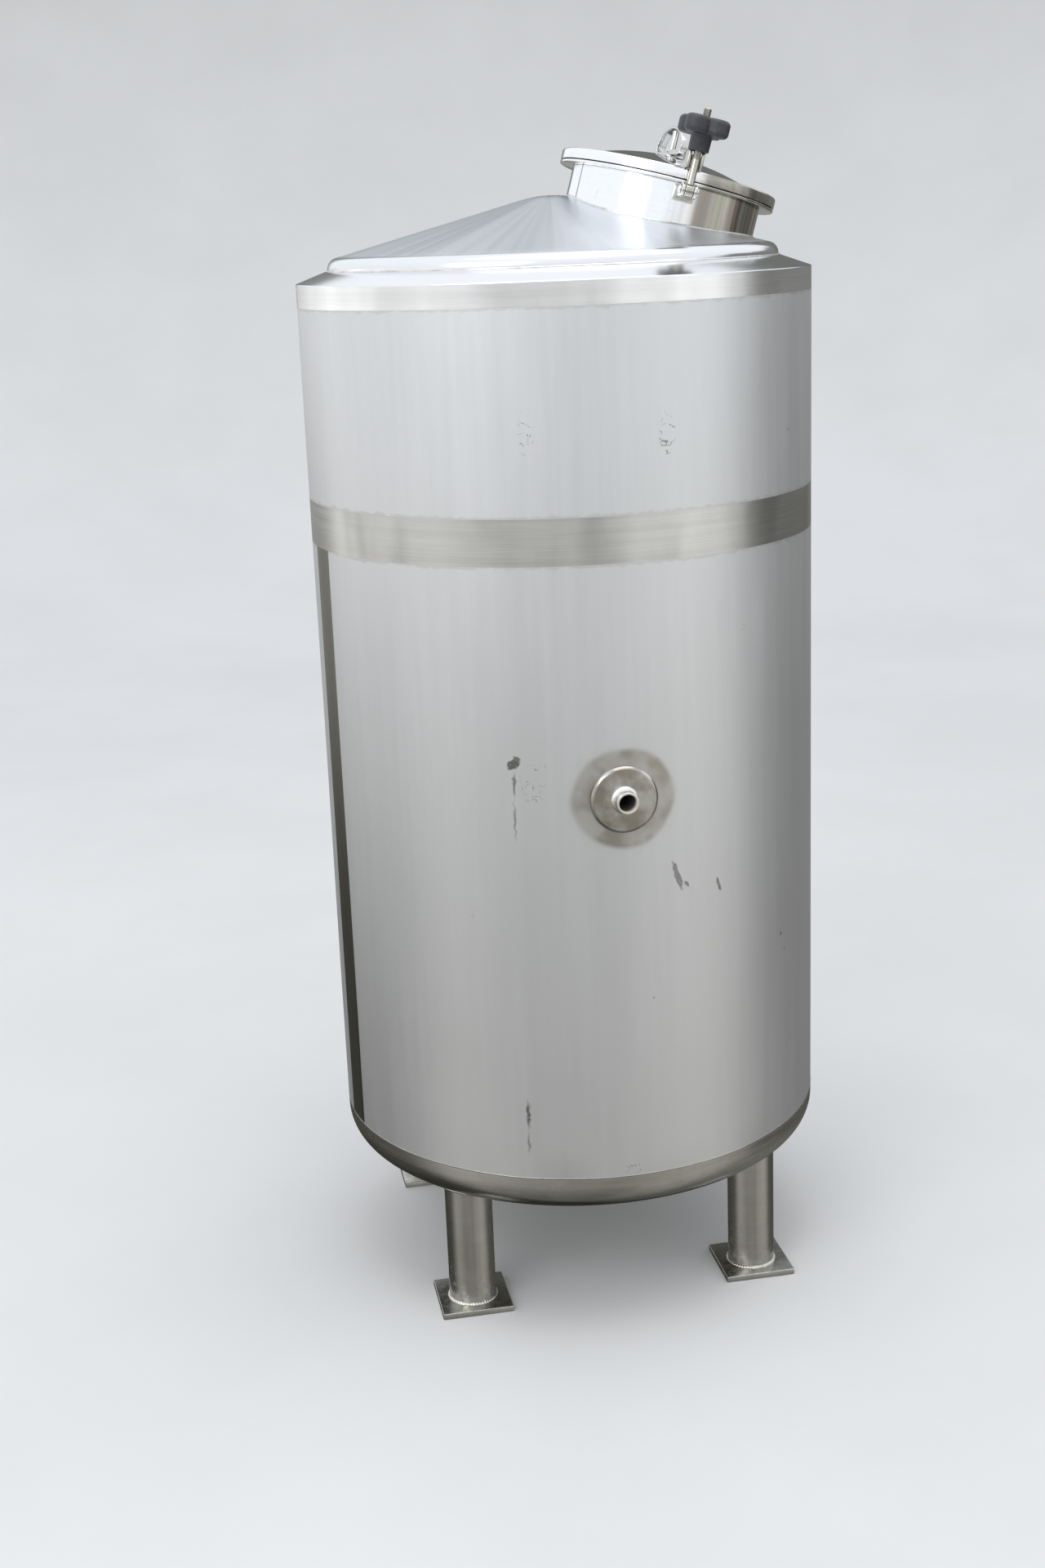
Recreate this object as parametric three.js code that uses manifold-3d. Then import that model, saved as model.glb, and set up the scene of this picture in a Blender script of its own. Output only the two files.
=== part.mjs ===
// A small vertical storage tank of stainless steel on four pipe legs.
// An inner vessel with a cone head stands inside a clad round shell. A manway with a domed lid stands
// on the slope of the cone, and is held shut by a swing bolt with a black hand knob.
// Millimetres, +Z up. The origin is on the ground, under the middle of the overall width and depth.
// -Y is the side of the small port, and the manway leans towards +X.

import * as THREE from 'three';
import { mergeVertices } from 'three/addons/utils/BufferGeometryUtils.js';
import Module from 'manifold-3d';

const wasm = await Module();
wasm.setup();

// Driving dimensions
const gap = 0.3;                  // between pieces that bear on each other
const shellRadius = 400;
const shellThickness = 3;
const rimHeight = 1620;
const topBandHeight = 32;
const midBandTop = 1296;
const midBandBottom = 1228;
const shellBottom = 270;
const seamWidth = 62;
const seamTurn = 10.5;             // degrees of the lower seam from -X towards the port

const bottomKnuckle = 50;
const bottomDrop = 15;            // from the shell's lower edge to the knuckle's centre
const bottomSlope = 4;            // degrees, falling to the outlet
const bottomThickness = 3;

const vesselRadius = 350;
const vesselThickness = 3;
const vesselBottom = 300;
const vesselKnuckle = 30;
const wallDrop = 8;               // from the head's foot to the vessel wall's top

const shoulderRise = 18;
const shoulderThickness = 2.5;
const headKnuckle = 18;
const headRiser = 4;
const headSlope = 14.5;           // degrees
const apexBlend = 45;             // radius of the rounded top of the cone
const headSteps = 4;              // facets round the knuckle

const legDiameter = 76.1;
const legWall = 3;
const legCircle = 336;            // radius to the legs' centres
const footSize = 115;
const footThickness = 10;

const outletDiameter = 50.8;
const outletWall = 1.6;
const outletEnd = 140;
const outletInset = 2.5;          // the pipe's end below the vessel's surface
const ferruleDiameter = 64;
const ferruleRim = 4;
const ferruleTaper = 8;

const portHeight = 879;
const portDiscDiameter = 102;
const portDiscThickness = 7;
const portOutside = 33.7;
const portBore = 27;
const portReach = 27;             // beyond the shell

const manwayReach = 173;          // from the tank's axis to the neck's axis, on the cone
const manwayTilt = 15.6;          // degrees, a little more than the cone's slope
const neckOutside = 149;          // radius
const neckWall = 3;
const neckHeight = 44;
const flangeRadius = 170;
const flangeThickness = 4;
const gasketInset = 4;            // beyond the neck's bore
const lidPlate = 3;
const lidSkirtBottom = 49.5;
const lidRim = 65;
const domeRadius = 138;           // of its base circle
const domeRise = 26;

const fittingsTurn = -3.5;        // degrees, of the clamp and hinge about the manway's axis
const clampRadius = 182;          // from the manway's axis to the swing bolt
const pivotHeight = 33.5;
const boltRadius = 6;
const boltTip = 152;
const eyeRadius = 11;
const eyeThickness = 13;
const eyePlay = 0.5;
const lugThickness = 5;
const lugRoot = 100;              // depth from which a lug is cut back to the neck
const bracketTop = neckHeight - 2;
const backMargin = 4;             // of the bracket's back plate round its lugs
const pinRadius = 4;
const pinHeadRadius = 6.5;
const pinHeadThickness = 3;
const forkTop = 90;
const forkThickness = 5;
const forkBend = -146;            // centre of the fork's round end
const slotWidth = 15;
const hubRadius = 16;
const hubHeight = 23;
const knobRadius = 41;
const knobValley = 27;
const knobThickness = 25;
const knobEdge = 3;
const knobLobes = 4;
const knobTurned = 50;            // degrees

const handleCentre = -5;          // along the slope
const handleTurn = 8;             // degrees
const handleReach = 50;           // half the loop's length
const handleTop = 136.5;
const handleCorner = 12;
const handleWidth = 15;
const handleThickness = 4;
const studRadius = 5;
const studTop = 131.5;
const nutRadius = 9.2;
const nutHeight = 5;
const collarRadius = 13;
const collarRise = 2;

const hingeRadius = 184;
const hingeHeight = 50;
const hingeLow = 20;
const armThickness = 10;
const armWidth = 14;

const round = 60;                 // sides of a large round piece
const vesselSides = 48;

const degrees = THREE.MathUtils.degToRad;
const headTan = Math.tan(degrees(headSlope));
const bottomTan = Math.tan(degrees(bottomSlope));
const high = 500;                 // taller than the manway, for shapes that only cut

// Colours
const steel = (color, roughness) => new THREE.MeshStandardMaterial({ color, roughness, metalness: 1 });
const sheetSteel = steel(0xc3c7cc, 0.38);
const brushedSteel = steel(0xa9a7a1, 0.45);
const polishedSteel = steel(0xd9dbdd, 0.08);
const legSteel = steel(0x9a9a94, 0.35);
const blackPlastic = new THREE.MeshStandardMaterial({ color: 0x3a3c40, roughness: 0.5, metalness: 0 });
const blackRubber = new THREE.MeshStandardMaterial({ color: 0x1c1c1c, roughness: 0.8, metalness: 0 });

// Shape helpers

function solid(geometry) {
  const bare = geometry.index ? geometry.clone() : mergeVertices(geometry);
  bare.deleteAttribute('normal');
  bare.deleteAttribute('uv');
  const merged = mergeVertices(bare, 1e-3);
  return new wasm.Manifold(new wasm.Mesh({
    numProp: 3,
    vertProperties: new Float32Array(merged.attributes.position.array),
    triVerts: new Uint32Array(merged.index.array),
  }));
}

function geometryOf(manifold) {
  const mesh = manifold.getMesh();
  const geometry = new THREE.BufferGeometry();
  geometry.setAttribute('position', new THREE.BufferAttribute(mesh.vertProperties, 3));
  geometry.setIndex(new THREE.BufferAttribute(mesh.triVerts, 1));
  return geometry;
}

// A profile of [radius, height] points, anticlockwise, turned about Z. A ring's profile is closed here.
function turned(profile, sides = round, ring = true) {
  const points = profile.map(([r, z]) => new THREE.Vector2(r, z));
  if (ring) points.push(points[0].clone());
  return new THREE.LatheGeometry(points, sides).rotateX(Math.PI / 2);
}

function tube(outer, inner, bottom, top, sides = round) {
  return turned([[outer, bottom], [outer, top], [inner, top], [inner, bottom]], sides);
}

function rod(radius, bottom, top, sides = 24) {
  return new THREE.CylinderGeometry(radius, radius, top - bottom, sides)
    .rotateX(Math.PI / 2)
    .translate(0, 0, (top + bottom) / 2);
}

function box(low, high) {
  const size = high.map((v, i) => v - low[i]);
  return new THREE.BoxGeometry(...size).translate(...low.map((v, i) => v + size[i] / 2));
}

function extruded(shape, depth, curveSegments = 12) {
  return new THREE.ExtrudeGeometry(shape, { depth, bevelEnabled: false, curveSegments });
}

// An outline drawn across Y and Z, extruded along X from a start.
function upright(shape, start, thickness) {
  const axes = [new THREE.Vector3(0, 1, 0), new THREE.Vector3(0, 0, 1), new THREE.Vector3(1, 0, 0)];
  const stand = new THREE.Matrix4().makeBasis(...axes);
  return extruded(shape, thickness, 10).applyMatrix4(stand).translate(start, 0, 0);
}

// A rod along X, centred on x = 0.
function crossRod(radius, length, y, z, sides = 20) {
  return rod(radius, -length / 2, length / 2, sides).rotateY(Math.PI / 2).translate(0, y, z);
}

// A curved sheet between two angles about Z, measured from +X.
function curvedSheet(start, end, bottom, top) {
  const shape = new THREE.Shape();
  shape.absarc(0, 0, shellRadius, start, end, false);
  shape.absarc(0, 0, shellRadius - shellThickness, end, start, true);
  const segments = Math.max(4, Math.round(round * (end - start) / (2 * Math.PI)));
  return extruded(shape, top - bottom, segments).translate(0, 0, bottom);
}

// Points on an arc of a profile, between two angles in degrees.
function arcPoints(centreR, centreZ, radius, from, to, steps) {
  const points = [];
  for (let i = 0; i <= steps; i += 1) {
    const angle = degrees(from + (to - from) * i / steps);
    points.push([centreR + radius * Math.cos(angle), centreZ + radius * Math.sin(angle)]);
  }
  return points;
}

// A flat band of even width along a smooth line, in the plane of the two coordinates given.
function ribbon(points, halfWidth, steps) {
  const line = new THREE.SplineCurve(points.map(([x, y]) => new THREE.Vector2(x, y)));
  const left = [];
  const right = [];
  for (let i = 0; i <= steps; i += 1) {
    const place = line.getPoint(i / steps);
    const along = line.getTangent(i / steps);
    const side = new THREE.Vector2(-along.y, along.x).multiplyScalar(halfWidth);
    left.push(place.clone().add(side));
    right.push(place.clone().sub(side));
  }
  return new THREE.Shape([...right, ...left.reverse()]);
}

const tank = new THREE.Group();
tank.name = 'vertical_storage_tank';
tank.position.y = portReach / 2;

function add(parent, name, shape, material) {
  const geometry = shape instanceof THREE.BufferGeometry ? shape : geometryOf(shape);
  const mesh = new THREE.Mesh(geometry, material);
  mesh.name = name;
  parent.add(mesh);
}

// The outer surface of the head, from its foot to the apex, moved out by a distance.
const headFoot = rimHeight + shoulderRise;
const knuckleCentreZ = headFoot + headRiser;
const knuckleCentreR = vesselRadius - headKnuckle;
const coneAngle = 90 - headSlope;
const wallTop = headFoot - wallDrop;

function headProfile(offset, foot, steps = headSteps) {
  const radius = headKnuckle + offset;
  const knuckle = arcPoints(knuckleCentreR, knuckleCentreZ, radius, 0, coneAngle, steps);
  const [coneR, coneZ] = knuckle[steps];
  const blendZ = coneZ + (coneR - apexBlend) * headTan;
  const apexZ = blendZ + apexBlend * headTan / 2;
  const middle = [apexBlend / 2, (blendZ + apexZ) / 2 + apexBlend * headTan / 8];
  return [[knuckleCentreR + radius, foot], ...knuckle, [apexBlend, blendZ], middle, [0, apexZ]];
}

// Height of the cone's outer surface at a radius.
function coneHeight(radius) {
  const [edgeR, edgeZ] = arcPoints(knuckleCentreR, knuckleCentreZ, headKnuckle, coneAngle, coneAngle, 1)[0];
  return edgeZ + (edgeR - radius) * headTan;
}

// The outer surface of the bottom, moved out by a distance, from a radius to a height.
function bottomProfile(offset, start, top, steps = 5) {
  const radius = bottomKnuckle + offset;
  const centreR = shellRadius - bottomKnuckle;
  const knuckle = arcPoints(centreR, shellBottom - bottomDrop, radius, -90 - bottomSlope, 0, steps);
  const [edgeR, edgeZ] = knuckle[0];
  return [[start, edgeZ - (edgeR - start) * bottomTan], ...knuckle, [centreR + radius, top]];
}

// Legs and feet

function addLegs() {
  const below = solid(turned([...bottomProfile(gap, 0, high), [0, high]], round, false));
  const half = footSize / 2;
  for (let i = 0; i < 4; i += 1) {
    const angle = degrees(45 + 90 * i);
    const x = legCircle * Math.cos(angle);
    const y = legCircle * Math.sin(angle);
    const plate = box([x - half, y - half, 0], [x + half, y + half, footThickness]);
    add(tank, `foot_plate_${i + 1}`, plate, legSteel);
    const pipe = tube(legDiameter / 2, legDiameter / 2 - legWall, footThickness + gap, shellBottom, 20);
    add(tank, `leg_${i + 1}`, solid(pipe.translate(x, y, 0)).subtract(below), legSteel);
  }
}

// Shell, bottom and shoulder

function addShell() {
  const portHole = solid(alongPort(rod(portOutside / 2 + gap, 0, shellRadius + portReach, 24)));
  const half = seamWidth / 2 / shellRadius;
  const split = gap / shellRadius;
  const left = Math.PI + degrees(seamTurn);
  const lowerStart = left + half + split;
  const lowerEnd = left + 2 * Math.PI - half - split;
  const lowerSheet = curvedSheet(lowerStart, lowerEnd, shellBottom, midBandBottom);
  add(tank, 'lower_shell', solid(lowerSheet).subtract(portHole), sheetSteel);
  add(tank, 'lower_seam', curvedSheet(left - half, left + half, shellBottom, midBandBottom), brushedSteel);
  const upperTop = rimHeight - topBandHeight;
  const rear = Math.PI / 2;
  const upperStart = rear + half + split;
  const upperEnd = rear + 2 * Math.PI - half - split;
  const upperSheet = curvedSheet(upperStart, upperEnd, midBandTop, upperTop);
  add(tank, 'upper_shell', upperSheet, sheetSteel);
  add(tank, 'upper_seam', curvedSheet(rear - half, rear + half, midBandTop, upperTop), brushedSteel);
  const inner = shellRadius - shellThickness;
  add(tank, 'middle_band', tube(shellRadius, inner, midBandBottom, midBandTop), brushedSteel);
  add(tank, 'top_band', tube(shellRadius, inner, upperTop, rimHeight), brushedSteel);
}

function addBottom() {
  const hole = outletDiameter / 2 + gap;
  const outer = bottomProfile(0, hole, shellBottom);
  const inner = bottomProfile(-bottomThickness, hole, shellBottom, 3);
  add(tank, 'bottom_head', turned([...outer, ...inner.reverse()]), brushedSteel);
}

function addShoulder() {
  const outer = shellRadius;
  const inner = vesselRadius + gap;
  const profile = [
    [outer, rimHeight],
    [outer, rimHeight + shoulderThickness],
    [inner, headFoot + shoulderThickness],
    [inner, headFoot],
    [outer - shellThickness, rimHeight],
  ];
  add(tank, 'shoulder_ring', turned(profile), sheetSteel);
}

// Inner vessel

function addVessel() {
  const inner = vesselRadius - vesselThickness;
  const sleeve = solid(alongPort(rod(portBore / 2, 0, shellRadius, 24)));
  const wall = tube(vesselRadius, inner, vesselBottom, wallTop, vesselSides);
  add(tank, 'vessel_wall', solid(wall).subtract(sleeve), sheetSteel);
  const centreR = vesselRadius - vesselKnuckle;
  const bore = outletDiameter / 2 - outletWall;
  const surface = (radius) => {
    const knuckle = arcPoints(centreR, vesselBottom, radius, -90 - bottomSlope, 0, 3);
    const [edgeR, edgeZ] = knuckle[0];
    return [[bore, edgeZ - (edgeR - bore) * bottomTan], ...knuckle];
  };
  const outer = surface(vesselKnuckle);
  const dish = [...outer, ...surface(vesselKnuckle - vesselThickness).reverse()];
  add(tank, 'vessel_bottom', turned(dish, vesselSides), sheetSteel);
  const pipeTop = outer[0][1] - outletInset;
  const outside = outletDiameter / 2;
  const ferrule = ferruleDiameter / 2;
  const outlet = [
    [ferrule, outletEnd],
    [ferrule, outletEnd + ferruleRim],
    [outside, outletEnd + ferruleTaper],
    [outside, pipeTop],
    [bore, pipeTop],
    [bore, outletEnd],
  ];
  add(tank, 'bottom_outlet', turned(outlet, 32), polishedSteel);
}

// Port

// Turns a shape that stands on Z to lie along the port, which points to -Y.
function alongPort(geometry) {
  return geometry.rotateX(Math.PI / 2).translate(0, 0, portHeight);
}

// The disc and the nipple start deeper than they reach, and are cut back to the shell and to the vessel.
function addPort() {
  const deep = 60;
  const edge = portDiscDiameter / 2;
  const bore = portOutside / 2 + gap;
  const face = shellRadius + portDiscThickness;
  const disc = [
    [edge, shellRadius - deep],
    [edge, face - 4],
    [edge - 1.2, face - 1.2],
    [edge - 4, face],
    [bore, face],
    [bore, shellRadius - deep],
  ];
  const cladding = solid(rod(shellRadius + gap, 0, rimHeight, 240));
  add(tank, 'port_disc', solid(alongPort(turned(disc, 32))).subtract(cladding), polishedSteel);
  const reach = shellRadius + portReach;
  const nipple = [
    [portOutside / 2, vesselRadius - deep],
    [portOutside / 2, reach - 1],
    [portOutside / 2 - 1, reach],
    [portBore / 2, reach],
    [portBore / 2, vesselRadius - deep],
  ];
  const vessel = solid(rod(vesselRadius + gap, 0, rimHeight, 240));
  add(tank, 'port_nipple', solid(alongPort(turned(nipple, 32))).subtract(vessel), polishedSteel);
}

// Manway, in a group whose +Z is the neck's axis. The clamp and the hinge share a turned group of their own.

const manway = new THREE.Group();
manway.position.set(manwayReach, 0, coneHeight(manwayReach));
manway.rotation.y = degrees(manwayTilt);
manway.updateMatrix();
tank.add(manway);

const fittings = new THREE.Group();
fittings.rotation.z = degrees(fittingsTurn);
manway.add(fittings);

function addHead() {
  const outer = headProfile(0, wallTop);
  const inner = headProfile(-vesselThickness, wallTop, 2);
  const shell = solid(turned([...inner.reverse(), ...outer], round, false));
  const opening = rod(neckOutside - neckWall, -high, high, 48).applyMatrix4(manway.matrix);
  add(tank, 'cone_head', shell.subtract(solid(opening)), sheetSteel);
}

function addNeck() {
  const deep = wallTop - high;
  const profile = [[0, deep], ...headProfile(gap, deep)];
  const under = turned(profile, round, false).applyMatrix4(manway.matrix.clone().invert());
  const inner = neckOutside - neckWall;
  const neck = tube(neckOutside, inner, -neckOutside, neckHeight - gap, 48);
  add(manway, 'manway_neck', solid(neck).subtract(solid(under)), polishedSteel);
  const flangeTop = neckHeight + flangeThickness;
  add(manway, 'neck_flange', tube(flangeRadius, inner, neckHeight, flangeTop, 48), polishedSteel);
  const sealOutside = flangeRadius - lidPlate - 2 * gap;
  const seal = tube(sealOutside, inner + gasketInset, flangeTop + gap, lidRim - lidPlate - gap, 48);
  add(manway, 'gasket', seal, blackRubber);
}

// The lid's domed top from its base circle to the middle, moved out by a distance.
function domeProfile(offset, steps = 6) {
  const sphere = (domeRadius ** 2 + domeRise ** 2) / (2 * domeRise);
  const centre = lidRim + domeRise - sphere;
  const radius = sphere + offset;
  const points = [];
  for (let i = 0; i <= steps; i += 1) {
    const r = domeRadius * (1 - i / steps);
    points.push([r, centre + Math.sqrt(radius ** 2 - r ** 2)]);
  }
  return points;
}

function lidSolid(offset) {
  const rim = flangeRadius + offset;
  return solid(turned([
    [0, lidSkirtBottom],
    [rim, lidSkirtBottom],
    [rim, lidRim - 2],
    [rim - 2, lidRim + offset],
    ...domeProfile(offset),
  ], 48, false));
}

function addLid() {
  const skirt = flangeRadius - lidPlate;
  const inside = solid(turned([
    [0, lidSkirtBottom - 1],
    [skirt, lidSkirtBottom - 1],
    [skirt, lidRim - lidPlate],
    ...domeProfile(-lidPlate, 3),
  ], 48, false));
  add(manway, 'lid', lidSolid(0).subtract(inside), polishedSteel);
}

// A pair of lugs on a back plate that fits the neck, reaching along -Y.
const lugInside = eyeThickness / 2 + eyePlay;
const lugOutside = lugInside + lugThickness;

function lugBracket(pinRadial, pinHeight, low) {
  const backFace = neckOutside + backMargin;
  const backEdge = lugOutside + backMargin;
  const plate = box([-backEdge, -backFace, low - backMargin], [backEdge, -lugRoot, bracketTop]);
  const outline = new THREE.Shape();
  outline.moveTo(-lugRoot, low);
  outline.lineTo(-pinRadial, low);
  outline.absarc(-pinRadial, pinHeight, eyeRadius, -Math.PI / 2, -Math.PI * 1.5, true);
  outline.lineTo(-backFace, bracketTop);
  outline.lineTo(-lugRoot, bracketTop);
  const near = solid(upright(outline, lugInside, lugThickness));
  const far = solid(upright(outline, -lugOutside, lugThickness));
  const neckFace = solid(rod(neckOutside + gap, -high, high, 96));
  const hole = solid(crossRod(pinRadius + 0.1, high, -pinRadial, pinHeight));
  return solid(plate).add(near).add(far).subtract(neckFace).subtract(hole);
}

function pinWithHeads(y, z) {
  const under = lugOutside + 0.2;
  const end = under + pinHeadThickness;
  const profile = [
    [0, -end],
    [pinHeadRadius, -end],
    [pinHeadRadius, -under],
    [pinRadius, -under],
    [pinRadius, under],
    [pinHeadRadius, under],
    [pinHeadRadius, end],
    [0, end],
  ];
  return turned(profile, 12, false).rotateY(Math.PI / 2).translate(0, y, z);
}

function addClamp() {
  const bracket = lugBracket(clampRadius, pivotHeight, pivotHeight - eyeRadius);
  add(fittings, 'clamp_bracket', bracket, polishedSteel);
  add(fittings, 'clamp_pin', pinWithHeads(-clampRadius, pivotHeight), polishedSteel);
  const eye = solid(crossRod(eyeRadius - eyePlay, eyeThickness, -clampRadius, pivotHeight, 24));
  const shank = solid(rod(boltRadius, pivotHeight + pinRadius, boltTip, 16).translate(0, -clampRadius, 0));
  const eyeHole = solid(crossRod(pinRadius + gap, high, -clampRadius, pivotHeight));
  add(fittings, 'swing_bolt', eye.add(shank).subtract(eyeHole), polishedSteel);
}

function addKnob() {
  const outline = [];
  const points = 40;
  for (let i = 0; i < points; i += 1) {
    const angle = 2 * Math.PI * i / points;
    const swell = 0.5 + 0.5 * Math.cos(knobLobes * (angle - degrees(knobTurned)));
    const radius = knobValley + (knobRadius - knobValley) * swell ** 0.7 - knobEdge;
    outline.push(new THREE.Vector2(radius * Math.cos(angle), radius * Math.sin(angle)));
  }
  const head = new THREE.ExtrudeGeometry(new THREE.Shape(outline), {
    depth: knobThickness - 2 * knobEdge,
    bevelSize: knobEdge,
    bevelThickness: knobEdge,
    bevelSegments: 1,
  });
  const hubBottom = forkTop + gap;
  const lobeBottom = hubBottom + hubHeight;
  const hub = solid(rod(hubRadius, hubBottom, lobeBottom + 2 * knobEdge, 32));
  const grip = solid(head.translate(0, 0, lobeBottom + knobEdge));
  const bore = solid(rod(boltRadius + gap, 0, high, 20));
  const knob = hub.add(grip).subtract(bore).translate([0, -clampRadius, 0]);
  add(fittings, 'clamp_knob', knob, blackPlastic);
}

// An open fork of bent strap, standing on the front of the lid: the bolt lies in its slot.
function addFork() {
  const inner = slotWidth / 2;
  const outer = inner + forkThickness;
  const front = eyePlay - clampRadius;
  const plan = new THREE.Shape();
  plan.moveTo(inner, front);
  plan.lineTo(outer, front);
  plan.absarc(0, forkBend, outer, 0, Math.PI, false);
  plan.lineTo(-outer, front);
  plan.lineTo(-inner, front);
  plan.absarc(0, forkBend, inner, Math.PI, 0, true);
  const bottom = lidRim + gap;
  const strap = solid(extruded(plan, forkTop - bottom, 10).translate(0, 0, bottom));
  add(fittings, 'lid_fork', strap.subtract(lidSolid(gap)), polishedSteel);
}

// The outline of the handle's loop: flat below, with round corners and a half ellipse above.
function loopOutline(curve, inset, bottom) {
  const reach = handleReach - inset;
  const corner = handleCorner - inset;
  const low = bottom + inset;
  const middle = low + corner;
  curve.moveTo(corner - reach, low);
  curve.lineTo(reach - corner, low);
  curve.absarc(reach - corner, middle, corner, -Math.PI / 2, 0, false);
  curve.absellipse(0, middle, reach, handleTop - inset - middle, 0, Math.PI, false);
  curve.absarc(corner - reach, middle, corner, Math.PI, Math.PI * 1.5, false);
  return curve;
}

// The handle is a closed loop of strap, held on the lid's dome by a stud and a nut.
function addHandle() {
  const place = new THREE.Group();
  place.position.x = handleCentre;
  place.rotation.z = degrees(handleTurn);
  manway.add(place);
  const domeTop = lidRim + domeRise;
  const bottom = domeTop + collarRise + gap;
  const loop = loopOutline(new THREE.Shape(), 0, bottom);
  loop.holes.push(loopOutline(new THREE.Path(), handleThickness, bottom));
  const strap = solid(upright(loop, -handleWidth / 2, handleWidth));
  const hole = solid(rod(studRadius + gap, lidRim, bottom + 2 * handleThickness, 24));
  add(place, 'lid_handle', strap.subtract(hole), polishedSteel);
  const nutBottom = bottom + handleThickness + gap;
  const stud = solid(rod(studRadius, lidRim, studTop, 16));
  const nut = solid(rod(nutRadius, nutBottom, nutBottom + nutHeight, 6));
  const collar = solid(rod(collarRadius, lidRim, domeTop + collarRise, 24));
  const dome = lidSolid(gap).translate([-handleCentre, 0, 0]).rotate([0, 0, -handleTurn]);
  add(place, 'lid_stud', stud.add(nut).add(collar).subtract(dome), polishedSteel);
}

function addHinge() {
  const bracket = lugBracket(hingeRadius, hingeHeight, hingeLow).rotate([0, 0, 180]);
  const flange = solid(rod(flangeRadius + 1, neckHeight - 1, high, 48));
  add(fittings, 'hinge_bracket', bracket.subtract(flange), polishedSteel);
  add(fittings, 'hinge_pin', pinWithHeads(hingeRadius, hingeHeight), polishedSteel);
  const route = [
    [hingeRadius, hingeHeight + 6],
    [hingeRadius + 3, hingeHeight + 21],
    [176, hingeHeight + 33],
    [150, hingeHeight + 35],
    [128, hingeHeight + 30],
    [112, hingeHeight + 20],
  ];
  const arm = solid(upright(ribbon(route, armWidth / 2, 24), -armThickness / 2, armThickness));
  const eye = solid(crossRod(eyeRadius - eyePlay, armThickness, hingeRadius, hingeHeight, 24));
  const hole = solid(crossRod(pinRadius + gap, high, hingeRadius, hingeHeight));
  add(fittings, 'hinge_arm', arm.add(eye).subtract(hole).subtract(lidSolid(gap)), polishedSteel);
}

addLegs();
addShell();
addBottom();
addShoulder();
addVessel();
addPort();
addHead();
addNeck();
addLid();
addClamp();
addKnob();
addFork();
addHandle();
addHinge();

export default tank;
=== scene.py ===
# The looks of a small vertical storage tank of stainless steel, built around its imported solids.
# Meshes are drawn in millimetres, in the tank's own frame or the manway's, and stored in metres.

import math

import bmesh
import bpy
import numpy as np
from mathutils import Matrix, Vector


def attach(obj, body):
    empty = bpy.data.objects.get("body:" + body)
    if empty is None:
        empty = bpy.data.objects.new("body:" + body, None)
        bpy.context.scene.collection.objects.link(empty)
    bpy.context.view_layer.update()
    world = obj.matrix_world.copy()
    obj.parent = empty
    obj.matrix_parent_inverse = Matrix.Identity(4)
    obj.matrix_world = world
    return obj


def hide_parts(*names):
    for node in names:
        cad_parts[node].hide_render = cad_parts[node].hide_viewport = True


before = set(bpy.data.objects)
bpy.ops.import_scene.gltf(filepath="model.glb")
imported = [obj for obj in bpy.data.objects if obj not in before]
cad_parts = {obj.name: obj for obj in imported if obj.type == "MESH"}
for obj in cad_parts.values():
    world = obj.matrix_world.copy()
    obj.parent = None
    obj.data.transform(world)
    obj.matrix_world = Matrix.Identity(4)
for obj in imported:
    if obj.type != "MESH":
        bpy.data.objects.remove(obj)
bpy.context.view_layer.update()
scene = bpy.context.scene

MM = 0.001
TURN = 2 * math.pi
QUARTER = math.pi / 2
UP = np.array([0, 0, 1])

# Driving dimensions, the same as the solids have, in millimetres
AXIS_Y = 13.5                      # the tank's axis is this far behind the origin
GAP = 0.3                          # between pieces that meet
SHELL_R = 400
SHEET = 3
RIM_Z = 1620
TOP_BAND_Z = 1588
MID_BAND = (1228, 1296)
SHELL_BOTTOM = 270
SEAM_HALF = 31 / SHELL_R           # half the seam strip's width, as an angle
SEAM_TURN = math.radians(10.5)     # of the lower seam, from -X towards the port
BOTTOM_KNUCKLE = 50
BOTTOM_SLOPE = math.radians(4)
BOTTOM_STRAIGHT = 15
HEAD_FOOT_R = 350
HEAD_FOOT_Z = 1638
HEAD_KNUCKLE = 18
HEAD_RISER = 4
HEAD_SLOPE = math.radians(14.5)
APEX_BLEND = 45
LEG_R = 38.05
LEG_WALL = 3
LEG_TOP = 262
LEG_CIRCLE = 336
FOOT_SIZE = 115
FOOT_T = 10
OUTLET_R = (23.8, 25.4)
OUTLET_Z = (140, 264)
FERRULE_R = 32
PORT_Z = 879
PORT_DISC_R = 51
PORT_DISC_FACE = 407
PORT_OUT_R = 16.85
PORT_BORE_R = 13.5
PORT_END = 427
PORT_START = 346
MANWAY_X = 173
MANWAY_TILT = math.radians(15.6)
NECK_R = 149
NECK_WALL = 3
NECK_SEAM = 166                    # degrees of the neck's own weld, from +X towards -Y
FLANGE_Z = (44, 48)
FLANGE_R = 170
GASKET_R = (150, 166.4)
SKIRT_Z = 49.5
LID_RIM_Z = 65
DOME_R = 138
DOME_RISE = 26
FITTINGS_TURN = math.radians(-3.5)
CLAMP_R = 182
PIVOT_Z = 33.5
EYE_R = (4.3, 10.5)
PIN_R = (4, 6.5)                   # a pin's shank and its heads
LUG_R = 11
LUG_T = 5
BOLT_R = 6
BOLT_TIP = 152
PITCH = 1.75
THREAD_DEPTH = 0.95
BRACKET_TOP = 42
FORK_TOP = 90
FORK_R = (7.5, 12.5)
FORK_BEND = 146
HUB_BOTTOM = 90.3
HUB_TALL = 23
HUB_R = 16
KNOB_R = 41
KNOB_VALLEY = 26
KNOB_T = 25
KNOB_EDGE = 7
KNOB_TURN = math.radians(50)
HANDLE_X = -5
HANDLE_TURN = math.radians(8)
HANDLE_REACH = 50
HANDLE_Z = (93.3, 136.5)
HANDLE_CORNER = 12
HANDLE_W = 15
HANDLE_T = 4
NUT_Z = (97.6, 102.6)
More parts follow.
